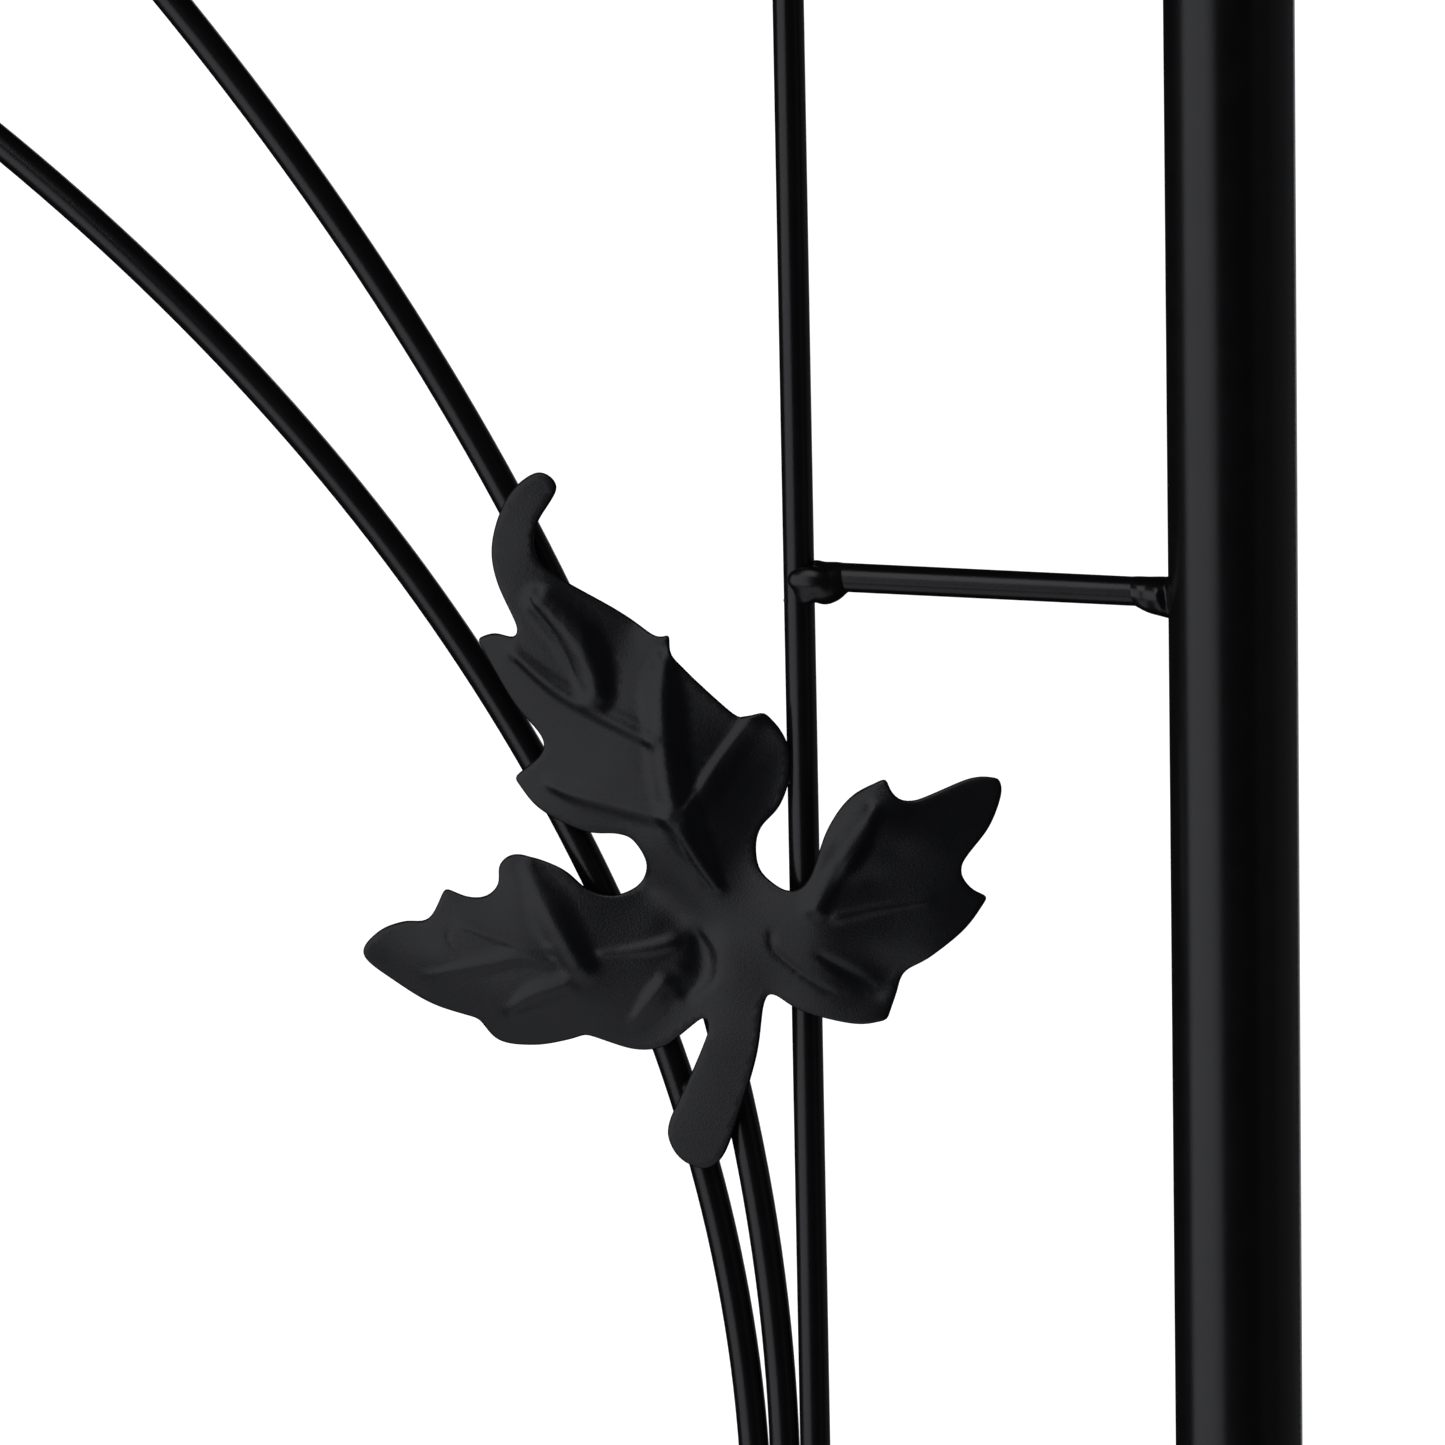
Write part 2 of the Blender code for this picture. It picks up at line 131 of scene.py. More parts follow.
# Leaf, in millimetres right of and above its heart, seen from the path with the post on the right.
# Each row is one smooth run of the edge, from a tooth or a notch to the next one, clockwise.
LEAF_T = 1.0
LEAF_BACK = 3.3          # from the plane of the rods to the back of the sheet, where its form is 0
LEAF_EDGE = (
    ((-53, 51), (-49, 52.5), (-45, 52), (-44, 54), (-48, 63), (-49, 70), (-47, 77.5), (-43.5, 83),
     (-38.5, 86), (-35, 83), (-39, 76), (-40, 72), (-39, 68), (-34, 64), (-24, 58.5), (-15.5, 53.5)),
    ((-12.5, 54), (-11, 49), (0.5, 38.5), (2.5, 38)),
    ((7, 39), (10, 35), (11.5, 30), (11, 24), (9, 19), (5.5, 15), (4.5, 11), (5.5, 6.5),
     (9.5, 3.5), (12.5, 3), (16, 5.5), (20, 16), (25, 23)),
    ((32, 27), (33.5, 24), (37.5, 22.5), (48.5, 27)),
    ((54, 27), (54.5, 24), (52, 17), (46.5, 9), (48, 4.5)),
    ((51.5, 2.5), (47, -4), (40, -10), (34.5, -13.5), (33, -18)),
    ((31.5, -23), (25, -24), (14, -22), (8, -19), (6, -21), (4, -32.5), (-1.5, -49), (-4.5, -55),
     (-8, -57), (-12.5, -55.5), (-15, -52), (-15, -47.5), (-10.5, -38), (-6, -27.5), (-7, -25),
     (-12, -29), (-16, -32), (-22.5, -33)),
    ((-32.5, -30.5), (-36.5, -32), (-43.5, -33.5), (-51, -33)),
    ((-55, -28.5), (-65, -26), (-73, -21.5), (-79, -16), (-75.5, -11), (-70, -8.5), (-64.5, -7.5)),
    ((-61, -1), (-56, -2.5), (-52, -2), (-49.5, 0.5)),
    ((-49.5, 4), (-48, 6), (-44.5, 7), (-36, 4.5), (-30.5, 0.5), (-25, -0.5), (-20, 2), (-18, 7),
     (-20.5, 11.5), (-24, 12.5), (-31, 12.5), (-40.5, 16.5)),
    ((-46, 22.5), (-39, 30), (-45.5, 38.5)),
)
EDGE_STEP = 0.8
EDGE_CLEAR = 0.7         # of EDGE_STEP, left free inside the edge line
EDGE_ROUNDS = 2          # of smoothing, which round its teeth
LEAF_GRID = 1.15
RIM_STEPS = 4
TRIANGLES_INSIDE = 1     # delaunay_2d_cdt's output of triangles inside the edge line only
MERGE_WITHIN = 1e-5

# How far the sheet bows out past LEAF_BACK, in millimetres: (right, above, how far). It bends smoothly from
# each of these points to the next.
LEAF_FORM = (
    # curl
    (-38, 86, 2), (-44, 80, 2.2), (-48, 70, 2.3), (-39, 72, 2.5), (-47, 60, 2.3), (-36, 64, 2),
    # top lobe, left of its midrib
    (-53, 51, 1), (-44, 50, 2.4), (-45, 39, 1.8), (-39, 30, 2.2), (-45, 23, 1), (-35, 40, 2.8),
    (-29, 60, 1.2), (-20, 55, 0.7), (-15, 53, 1.6), (-27, 52, 2.1), (-22, 47, 2.5), (-17, 43, 3.4),
    (-16, 33, 3.9), (-27, 32, 3.4), (-14, 23, 4.3), (-27, 22, 3.5), (-40, 17, 1.6), (-24, 13, 2.6),
    (-10, 13, 4.1), (-17, 8, 3), (-7, 4, 3.1),
    # top lobe, right of its midrib
    (-9, 49, 2), (-8, 41, 2.5), (1, 38, 1.8), (-6, 29, 3), (-4, 22, 2.8), (7, 39, 1.3),
    (11, 31, -0.6), (11, 25, -0.7), (9, 19, -0.2), (5, 15, 0.5), (0, 16, 1.6), (4, 10, 1),
    (-1, 8, 1.8), (6, 6, 1.8),
    # heart and stem
    (-4, -1, 2.5), (1, -7, 2.6), (8, 2, 2.7), (-2, -17, 2.4), (4, -13, 2.7), (4, -32, 2),
    (-6, -30, 1.8), (0, -42, 1.3), (-12, -42, 0.9), (-8, -56, 0.7), (-15, -49, 0.7),
    # right lobe
    (12, 4, 2.8), (18, 10, 2.7), (25, 23, 2.5), (32, 26, 2), (18, 0, 3.7), (24, 11, 4.2),
    (30, 20, 4), (38, 23, 1.4), (34, 12, 1.8), (24, 6, 3), (29, 6, 1.9), (48, 26, -1.2),
    (54, 23, -2.6), (43, 12, 0), (50, 2, -2.3), (30, 1, 1.7), (40, 1, 0.2), (40, -9, 0),
    (30, -7, 1.3), (18, -6, 3.6), (21, -9, 3), (28, -13, 0.8), (31, -15, 0.2), (22, -17, 2.6),
    (30, -20, 1.9), (32, -22, 1.8), (14, -21, 2.9), (8, -18, 2.5), (12, -7, 3.2),
    # left lobe
    (-78, -16, 1.5), (-72, -9, 1.7), (-71, -22, 0.2), (-65, -26, 0), (-62, -16, 2.4), (-61, -1, 1.6),
    (-50, 1, 2), (-54, -8, 2.8), (-50, -15, 3), (-55, -28, 0.4), (-46, -34, -0.5), (-48, -24, 2.2),
    (-48, 6, 2), (-40, 6, 1.8), (-38, -11, 3.6), (-45, 1, 2.8), (-31, 1, 2), (-28, -9, 2.7),
    (-18, 2, 0.9), (-17, -6, 1.4), (-34, -22, 2.7), (-33, -31, -0.3), (-22, -33, -0.1), (-16, -32, 0.3),
    (-12, -4, 0.8), (-7, -9, 1.2), (-20, -22, 1.3), (-19, -14, 2.2), (-12, -14, 1.6), (-10, -20, 1.2),
    (-3, -10, 2.4),
)

# Veins stamped into it: (height, width on its left, width on its right, line), and left and right are seen
# looking along the line. The points of a line are (right, above, strength), and a vein is lower and narrower
# where it is weaker.
LEAF_RELIEF = (
    # top lobe: midrib, its left edge, right branch, curl vein, the two left veins
    (1.7, 5, 4.8, ((-3, 3, 0.4), (-9, 14, 1), (-12, 26, 1.1), (-13, 39, 1), (-13, 49, 0.6))),
    (0.4, 1.6, 2.6, ((-17, 37, 0.8), (-17, 42, 1), (-16, 47, 0.8))),
    (0.9, 2.4, 5, ((-8, 19, 0.8), (-3, 27, 1), (4, 37, 0.9))),
    (2, 6, 4.8, ((-27, 42, 0.9), (-28, 47, 1), (-31, 53, 1.1), (-38, 60, 0.9))),
    (0.8, 2.6, 3, ((-16, 33, 1), (-34, 41, 1), (-45, 49, 0.7))),
    (0.8, 2.6, 3, ((-13, 17, 1), (-31, 20, 1), (-38, 22, 0.7))),
    # left lobe: up, down, across, a small one, and the two that run to its tip
    (1.4, 5.4, 4.8, ((-32, -15, 0.9), (-38, -4, 1), (-43, 5, 0.4))),
    (0.8, 4, 3.4, ((-35, -19, 0.9), (-42, -22, 1), (-48, -26, 0.5))),
    (0.7, 2.6, 2.4, ((-28, -12.5, 0.4), (-18, -11, 0.9), (-13, -9.5, 1))),
    (0.9, 4, 2.8, ((-15, -18, 0.9), (-18, -22, 1), (-22, -27, 0.5))),
    (0.4, 1.7, 2.6, ((-38, -12, 0.6), (-47, -11, 1), (-58, -8, 0.5))),
    (0.5, 2.3, 3, ((-38, -15, 0.5), (-45, -14, 1), (-52, -16, 1), (-66, -20, 0.4))),
    # the pit beside the heart
    (-1.3, 3.8, 5.8, ((-8, -8, 0.5), (-6.5, -12, 1), (-7, -16, 1), (-10, -20, 0.6))),
    # right lobe: fold, streak, hollow
    (1.3, 5.4, 3.6, ((18, 0, 0.8), (21, 6, 1), (26, 13, 1), (30, 20, 0.6))),
    (0.4, 2.2, 2, ((22, -2, 1), (30, 0, 0.9), (41, 2, 0.4))),
    (-0.5, 2.6, 1.8, ((18, -10, 0.6), (24, -14, 1), (30, -18, 0.7))),
    # fine creases
    (-0.2, 0.9, 0.9, ((-41, 60, 1), (-36, 54, 1), (-33, 48, 1), (-32, 44, 0.8))),
    (-0.1, 0.9, 0.9, ((-60, -10, 1), (-60, -12, 1), (-57, -14, 0.7))),
    (-0.3, 1.3, 1.3, ((8, -6, 1), (9, -10, 1), (19, -17, 0.8), (24, -18, 0.4))),
    (-0.2, 0.9, 0.9, ((-10, 13, 1), (-8, 8, 1), (-5, 3, 0.7))),
)
RIDGE_STEP = 1.0
VEIN_STEP = 0.9
VEIN_ROWS = (-1, -0.75, -0.5, -0.25, 0, 0.25, 0.5, 0.75, 1)     # shares of a vein's width
VEIN_CLEAR = 0.42        # between two points of the sheet

# Welds. A bead is a group of balls run together: (place) and (half sizes) along the same three axes,
# in millimetres.
BEAD_VOXEL = 0.0003
BEAD_SMOOTHING = 8
LARGE_BEAD_SMOOTHING = 26
BALL_DETAIL = 3
SPATTER_DETAIL = 2
RAIL_OFFSET = 0.0063     # from the axis of a thin rod to that of a rail or rung that crosses it

# Where a spacer meets its upright: along the spacer from the upright's axis, above it, towards the path
UPRIGHT_BEAD = (
    ((3.2, -0.3, 2.9), (4.9, 3.1, 2.1)),
    ((2.2, -2.5, 2.3), (2.8, 2.9, 1.9)),
    ((3.2, -0.4, -1.4), (3.2, 3.4, 2.9)),
)
# The same weld where it runs out along the spacer, as rings: how far along it they are, then how far they
# reach above, below and towards the path
UPRIGHT_RUN = (
    (1.0, 2.4, 4.6, 3.4),
    (3.5, 2.7, 5.5, 4.5),
    (5.0, 2.8, 5.7, 4.6),
    (6.6, 2.9, 5.2, 4.2),
    (8.2, 3.0, 4.3, 3.7),
    (9.6, 2.9, 3.1, 3.0),
    (10.6, 2.6, 2.6, 2.6),
)
# Spatter beside it: a place on the axes of UPRIGHT_BEAD, and a radius
SPATTER = (
    (-2.1, -4.7, 2.3, 0.55),
)
# The weld over a spacer's other end, as rings of the same kind, along it from the post's surface
POST_BEAD = (
    (-8.0, 2.6, 2.6, 2.6),
    (-7.2, 2.9, 2.9, 2.9),
    (-5.7, 3.0, 3.7, 3.35),
    (-4.2, 3.0, 4.3, 3.45),
    (-1.8, 3.1, 4.8, 4.1),
    (-0.2, 3.2, 5.3, 3.5),
    (0.5, 3.5, 6.1, 4.0),
    (1.8, 4.4, 7.8, 5.4),
)
BEAD_STEP = 0.22
BEAD_SIDES = 64
BEAD_SLANT = 0.13        # how far a ring moves back along the rod for each millimetre above its middle
# Round the end of a rail or rung, beside the tube: away from the middle of the panel, above, outwards
RAIL_END_BEAD = (
    ((0.4, 0.0, -3.2), (2.2, 2.6, 1.7)),
    ((0.9, 2.9, -1.0), (2.4, 1.5, 2.0)),
    ((0.9, -2.9, -1.0), (2.4, 1.5, 2.0)),
    ((1.8, 2.2, 1.6), (2.6, 1.7, 1.8)),
    ((1.9, -2.3, 1.5), (2.6, 1.6, 1.9)),
    ((2.2, 0.0, 2.4), (2.7, 2.3, 1.4)),
    ((1.2, 0.0, 0.0), (2.6, 3.0, 2.6)),
)
# One side of a rail or rung that crosses a thin rod, from the point between their axes: along the rail,
# above it, towards the path
CROSSING_BEAD = (
    ((2.4, 1.6, 0.0), (1.6, 1.9, 1.5)),
    ((2.7, -0.3, 0.3), (1.9, 2.2, 1.6)),
    ((2.3, -2.1, -0.1), (1.5, 1.6, 1.4)),
)
# Where two vines meet in the middle of a panel, from their joint: right, above, towards the path
TIP_BEAD = (
    ((0.0, 0.0, 0.0), (1.7, 5.4, 3.9)),
    ((0.0, 4.3, 0.0), (1.6, 2.0, 2.7)),
    ((0.4, 2.4, 0.8), (1.9, 2.7, 3.1)),
    ((-0.3, -2.2, -0.6), (1.9, 2.7, 3.2)),
)
# Between a leaf and the rods behind it: right of and above its heart, in front of the rods' plane
LEAF_TACKS = (
    ((11.0, 29.2, 2.4), (1.0, 1.8, 0.9)),
    ((11.0, 26.9, 2.2), (1.1, 1.9, 0.9)),
    ((11.0, 24.9, 2.4), (0.9, 1.6, 0.9)),
    ((-11.3, -41.0, 2.6), (1.6, 1.8, 1.3)),
    ((13.2, -7.0, 4.0), (2.2, 3.4, 2.3)),
    ((12.9, -12.0, 3.8), (1.9, 2.6, 2.1)),
    ((-41.0, 21.6, 3.0), (2.0, 2.3, 1.7)),
)
# Fillet round the foot of a post: its ripples are a little uneven, and it swells slowly as well
FOOT_BEAD_R = 0.0026
FOOT_BEAD_OUT = 0.0006
FOOT_BEAD_SIDES = 14
FOOT_RIPPLES = 34
FOOT_STEPS_EACH = 8
FOOT_RIPPLE_HEIGHT = 0.07
FOOT_UNEVENNESS = 0.6
FOOT_SWELL = 0.05

# Paint: linear colours
BLACK = (0.0065, 0.0065, 0.0070)
LEAF_BLACK = (0.0064, 0.0067, 0.0082)
OXIDE_BLACK = (0.05, 0.05, 0.052)
# (colour, roughness, strength of the orange peel)
TUBE_PAINT = (BLACK, 0.24, 0.15)
ROD_PAINT = (BLACK, 0.24, 0.15)
LEAF_PAINT = (LEAF_BLACK, 0.33, 0.3)
PLATE_PAINT = (BLACK, 0.32, 0.3)
SCREW_FINISH = (OXIDE_BLACK, 0.35, 0.1)
# How far colour (as a share of it) and roughness stray, and how deep the orange peel is at full strength
MOTTLE = 0.15
GLOSS_DRIFT = 0.02
PEEL_DEPTH = 0.00006
# Noise: (scale, detail), and the band of it that is spread over the range asked for
MOTTLE_NOISE = (180, 4)
GLOSS_NOISE = (60, 3)
PEEL_NOISE = (2600, 2)
FLOOR_NOISE = (0.4, 3)
NOISE_LOW = 0.3
NOISE_HIGH = 0.7

# Camera, over the path and a little towards the front. It looks out and down at the leaf of the front right
# corner. Angles are in degrees, yaw from +X towards +Y and pitch downwards; lens and sensor in millimetres.
CAMERA_YAW = 16.94
CAMERA_PITCH = 14.0
CAMERA_ROLL = -1.196
CAMERA_DISTANCE = 1.860
CAMERA_LENS = 232
CAMERA_SENSOR = 36
CAMERA_REACH = 500
# The point it looks at: this far from the axis of the front right upright, at this height
AIM_FROM_UPRIGHT = Vector((0, 0.0165, 0))
AIM_HEIGHT = 1.193

# Floor, which doesn't show in the coat and has a sun of its own; that sun's spread and tilts are in degrees
FLOOR_SIZE = 240
FLOOR_SQUARES = 8
FLOOR_ROUGHNESS = 0.9
FLOOR_LEVELS = (0.87, 0.89)
FLOOR_SUN = 3.9
FLOOR_SUN_SPREAD = 25
FLOOR_SUN_TILT_X = 12
FLOOR_SUN_TILT_Y = -10
# The world: white to the camera, nearly black in reflections, and dim as a light
WHITE = (1, 1, 1, 1)
WORLD_SEEN = 1.0
WORLD_GLOSS = 0.006
WORLD_SOFT = 0.12
# Softboxes round the corner that is looked at: (name, place from the aim point, width, height, radiance)
SOFTBOX_TINT = (0.98, 0.99, 1.06)
SOFTBOXES = (
    ("side_softbox", (-1.585, 1.52, -0.09), 2.70, 2.25, 0.84),
    ("top_softbox", (-1.62, 0.50, 1.62), 1.5, 1.6, 1.2),
    ("low_card", (-0.75, 0.25, -1.10), 1.2, 1.0, 0.45),
    ("right_card", (1.27, -2.04, -0.10), 3.0, 2.2, 0.08),
    ("fill_card", (-0.68, -2.09, -0.10), 1.3, 2.2, 0.045),
    ("rear_softbox", (2.6, -0.05, -0.10), 1.1, 2.1, 0.6),
)


# Meshes


def finish_mesh(bm, name, sharp_angle=CREASE):
    bmesh.ops.recalc_face_normals(bm, faces=bm.faces)
    if bm.calc_volume(signed=True) < 0:
        bmesh.ops.reverse_faces(bm, faces=bm.faces)
    mesh = bpy.data.meshes.new(name)
    bm.to_mesh(mesh)
    bm.free()
    mesh.shade_smooth()
    mesh.set_sharp_from_angle(angle=math.radians(sharp_angle))
    return mesh


def moved(mesh, matrix, name, sharp_angle=CREASE):
    """A copy of a mesh put somewhere else, its faces turned back out if the matrix mirrors it."""
    bm = bmesh.new()
    bm.from_mesh(mesh)
    bm.transform(matrix)
    return finish_mesh(bm, name, sharp_angle)


def add_ring(bm, centre, tangent, binormal, radius, sides):
    normal = binormal.cross(tangent).normalized()
    ring = []
    for step in range(sides):
        angle = 2 * math.pi * step / sides
        offset = math.cos(angle) * normal + math.sin(angle) * binormal
        ring.append(bm.verts.new(centre + radius * offset))
    return ring


def skin(bm, rings):
    for lower, upper in zip(rings, rings[1:]):
        for i in range(len(lower)):
            j = (i + 1) % len(lower)
            bm.faces.new((lower[i], lower[j], upper[j], upper[i]))


def bar_mesh(name, path, binormal, radius=ROD_COATED_R, end_y=None):
    """A solid rod along (centre, tangent) stations, its edges broken; end_y, if given, mitres its far end."""
    bm = bmesh.new()
    (start, start_along), (end, end_along) = path[0], path[-1]
    rings = [add_ring(bm, start, start_along, binormal, radius - CUT_EDGE, ROD_SIDES)]
    rings.append(add_ring(bm, start + CUT_EDGE * start_along, start_along, binormal, radius, ROD_SIDES))
    rings += [add_ring(bm, centre, along, binormal, radius, ROD_SIDES) for centre, along in path[1:-1]]
    if end_y is None:
        rings.append(add_ring(bm, end - CUT_EDGE * end_along, end_along, binormal, radius, ROD_SIDES))
        rings.append(add_ring(bm, end, end_along, binormal, radius - CUT_EDGE, ROD_SIDES))
    else:
        rings.append(add_ring(bm, end, end_along, binormal, radius, ROD_SIDES))
        for vert in rings[-1]:
            vert.co += end_along * (end_y - vert.co.y) / end_along.y
    skin(bm, rings)
    bm.faces.new(rings[0])
    bm.faces.new(rings[-1])
    return finish_mesh(bm, name)


def pipe_mesh(name, outer, inner, binormal):
    """A pipe with open ends; outer and inner are lists of (centre, tangent, radius)."""
    bm = bmesh.new()
    outer_rings = [add_ring(bm, at, along, binormal, r, TUBE_SIDES) for at, along, r in outer]
    inner_rings = [add_ring(bm, at, along, binormal, r, TUBE_SIDES) for at, along, r in inner]
    skin(bm, outer_rings)
    skin(bm, inner_rings)
    skin(bm, [outer_rings[0], inner_rings[0]])
    skin(bm, [outer_rings[-1], inner_rings[-1]])
    return finish_mesh(bm, name)


def solid_from(mesh, name):
    """A throwaway object, for modifiers to work on."""
    thing = bpy.data.objects.new(name, mesh)
    bpy.context.scene.collection.objects.link(thing)
    return thing


def applied(thing, name):
    """The object's mesh with its modifiers applied; the object itself goes."""
    bpy.context.view_layer.update()
    seen = thing.evaluated_get(bpy.context.evaluated_depsgraph_get())
    mesh = bpy.data.meshes.new_from_object(seen)
    mesh.name = name
    bpy.data.objects.remove(thing)
    return mesh


def cut_by(mesh, tool_mesh, name, edge=0.0):
    """A mesh less another one, with its sharp edges rounded over if edge is given."""
    thing = solid_from(mesh, name)
    tool = solid_from(tool_mesh, name + "_tool")
    cut = thing.modifiers.new("cut", "BOOLEAN")
    cut.operation = "DIFFERENCE"
    cut.solver = "EXACT"
    cut.object = tool
    if edge:
        bevel = thing.modifiers.new("edge", "BEVEL")
        bevel.width = edge
        bevel.segments = EDGE_SEGMENTS
        bevel.limit_method = "ANGLE"
        bevel.angle_limit = math.radians(EDGE_ANGLE)
    made = applied(thing, name)
    bpy.data.objects.remove(tool)
    made.shade_smooth()
    made.set_sharp_from_angle(angle=math.radians(CREASE))
    return made


def smooth_line(points, step):
    """A Catmull-Rom curve through points, sampled about every step, without its last point."""
    points = [Vector(point) for point in points]
    ends = [2 * points[0] - points[1], *points, 2 * points[-1] - points[-2]]
    line = []
    for a, b, c, d in zip(ends, ends[1:], ends[2:], ends[3:]):
        count = max(1, round((c - b).length / step))
        for i in range(count):
            t = i / count
            blend = 2 * b + (c - a) * t + (2 * a - 5 * b + 4 * c - d) * t**2
            line.append((blend + (3 * b - a - 3 * c + d) * t**3) / 2)
    return line


# Paint


def node(tree, kind, **inputs):
    made = tree.nodes.new(kind)
    for name, value in inputs.items():
        made.inputs[name.replace("_", " ")].default_value = value
    return made


def noise_over(tree, coordinates, scale, detail, low, high):
    """Noise over the object, spread between two values."""
    noise = node(tree, "ShaderNodeTexNoise", Scale=scale, Detail=detail)
    band = {"From_Min": NOISE_LOW, "From_Max": NOISE_HIGH}
    spread = node(tree, "ShaderNodeMapRange", To_Min=low, To_Max=high, **band)
    tree.links.new(coordinates, noise.inputs["Vector"])
    tree.links.new(noise.outputs["Fac"], spread.inputs["Value"])
    return spread.outputs["Result"]


def paint_material(name, color, roughness, peel, metallic=0.0):
    """Powder coat: fine orange peel, a little drift in its gloss and a trace of mottling in its colour."""
    material = bpy.data.materials.new(name)
    material.use_nodes = True
    tree = material.node_tree
    shader = tree.nodes["Principled BSDF"]
    shader.inputs["Metallic"].default_value = metallic
    where = node(tree, "ShaderNodeTexCoord").outputs["Object"]

    shade = noise_over(tree, where, *MOTTLE_NOISE, 0.0, 1.0)
    ramp = node(tree, "ShaderNodeValToRGB")
    for stop, level in zip(ramp.color_ramp.elements, (1 - MOTTLE, 1 + MOTTLE)):
        stop.color = (*[channel * level for channel in color], 1.0)
    tree.links.new(shade, ramp.inputs["Fac"])
    tree.links.new(ramp.outputs["Color"], shader.inputs["Base Color"])

    gloss = noise_over(tree, where, *GLOSS_NOISE, roughness - GLOSS_DRIFT, roughness + GLOSS_DRIFT)
    tree.links.new(gloss, shader.inputs["Roughness"])

    fine = noise_over(tree, where, *PEEL_NOISE, 0.0, 1.0)
    bump = node(tree, "ShaderNodeBump", Strength=peel, Distance=PEEL_DEPTH)
    tree.links.new(fine, bump.inputs["Height"])
    tree.links.new(bump.outputs["Normal"], shader.inputs["Normal"])
    return material


def floor_material():
    """Pale matt studio floor with a faint unevenness."""
    material = bpy.data.materials.new("pale_floor")
    material.use_nodes = True
    tree = material.node_tree
    shader = tree.nodes["Principled BSDF"]
    shader.inputs["Roughness"].default_value = FLOOR_ROUGHNESS
    where = node(tree, "ShaderNodeTexCoord").outputs["Object"]
    shade = noise_over(tree, where, *FLOOR_NOISE, 0.0, 1.0)
    ramp = node(tree, "ShaderNodeValToRGB")
    for stop, level in zip(ramp.color_ramp.elements, FLOOR_LEVELS):
        stop.color = (level, level, level, 1.0)
    tree.links.new(shade, ramp.inputs["Fac"])
    tree.links.new(ramp.outputs["Color"], shader.inputs["Base Color"])
    return material


# Pieces


def add_piece(name, mesh, paint, slot, *nodes):
    """One visible piece on the frame, standing for the named solids."""
    piece = bpy.data.objects.new(name, mesh)
    bpy.context.scene.collection.objects.link(piece)
    mesh.materials.clear()
    mesh.materials.append(paint)
    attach(piece, "root")
    if nodes:
        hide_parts(*nodes)


def corners():
    for side, sx in SIDES.items():
        for end, sy in ENDS.items():
            yield f"{side}_{end}", sx, sy


def middle_of(name):
    low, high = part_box(name)
    return (low + high) / 2


def straight_rod(name, axis, paint, radius=ROD_COATED_R):
    """A round rod where a straight solid of the frame lies, along axis 0, 1 or 2."""
    low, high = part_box(name)
    start = (low + high) / 2
    end = start.copy()
    start[axis] = low[axis]
    end[axis] = high[axis]
    along = (end - start).normalized()
    binormal = X_AXIS if axis else Y_AXIS
    mesh = bar_mesh(name + "_bar", [(start, along), (end, along)], binormal, radius)
    add_piece(name + "_look", mesh, paint, "trellis_rod", name)


def vine_path(name, kind):
    """Up beside the upright, then along an ellipse to the middle of the panel, drawn at +Y."""
    low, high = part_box(name)
    spring, half_width, half_height = VINE_ARCS[kind]
    start_y = max(abs(low.y), abs(high.y)) - ROD_R
    last = math.acos(1 - (start_y - ROD_R) / half_width)
    x = (low.x + high.x) / 2
    path = [(Vector((x, start_y, low.z)), Z_AXIS)]
    for step in range(VINE_STEPS + 1):
        turn = last * step / VINE_STEPS
        y = start_y - half_width * (1 - math.cos(turn))
        z = spring + half_height * math.sin(turn)
        along = Vector((0, -half_width * math.sin(turn), half_height * math.cos(turn)))
        path.append((Vector((x, y, z)), along.normalized()))
    return path


def build_rods(paint):
    for side in SIDES:
        for number in RAILS:
            straight_rod(f"{side}_rail_{number}", 1, paint)
        for number in RUNGS:
            straight_rod(f"{side}_rung_{number}", 1, paint)
    for corner, _, sy in corners():
        straight_rod(corner + "_upright", 2, paint)
        straight_rod(corner + "_spacer", 1, paint, SPACER_R)
        for kind in VINE_ARCS:
            name = f"{corner}_{kind}"
            mesh = bar_mesh(name, vine_path(name, kind), X_AXIS, end_y=GAP / 2)
            mesh = moved(mesh, Matrix.Scale(sy, 4, Y_AXIS), name + "_bar")
            add_piece(name + "_look", mesh, paint, "trellis_rod", name)


def roof_stations(radius, start, end, centre_y, spring_z):
    """Points of the round roof and the directions along it, drawn at +X, angles from the spring."""
    stations = []
    for step in range(ARC_STEPS + 1):
        angle = start + (end - start) * step / ARC_STEPS
        at = Vector((radius * math.cos(angle), centre_y, spring_z + radius * math.sin(angle)))
        stations.append((at, Vector((-math.sin(angle), 0, math.cos(angle)))))
    return stations


def roof_over(corner):
    """Of the roof over a corner: its radius, the angle where a half ends, its y and its spring height."""
    low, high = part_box(corner + "_post")
    centre = (low + high) / 2
    radius = abs(centre.x)
    crown = math.pi / 2 - GAP / 2 / radius
    return radius, crown, centre.y, high.z + GAP


def add_post(corner, paint):
    low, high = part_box(corner + "_post")
    centre = (low + high) / 2
    foot = Vector((centre.x, centre.y, low.z))
    top = Vector((centre.x, centre.y, high.z))
    outer = [(foot, Z_AXIS, TUBE_R), (top - Z_AXIS * CUT_EDGE, Z_AXIS, TUBE_R)]
    outer += [(top, Z_AXIS, TUBE_R - CUT_EDGE)]
    inner = [(foot, Z_AXIS, BORE), (top, Z_AXIS, BORE)]
    mesh = pipe_mesh(corner + "_post_pipe", outer, inner, X_AXIS)
    add_piece(corner + "_post_look", mesh, paint, "frame_tube", corner + "_post")


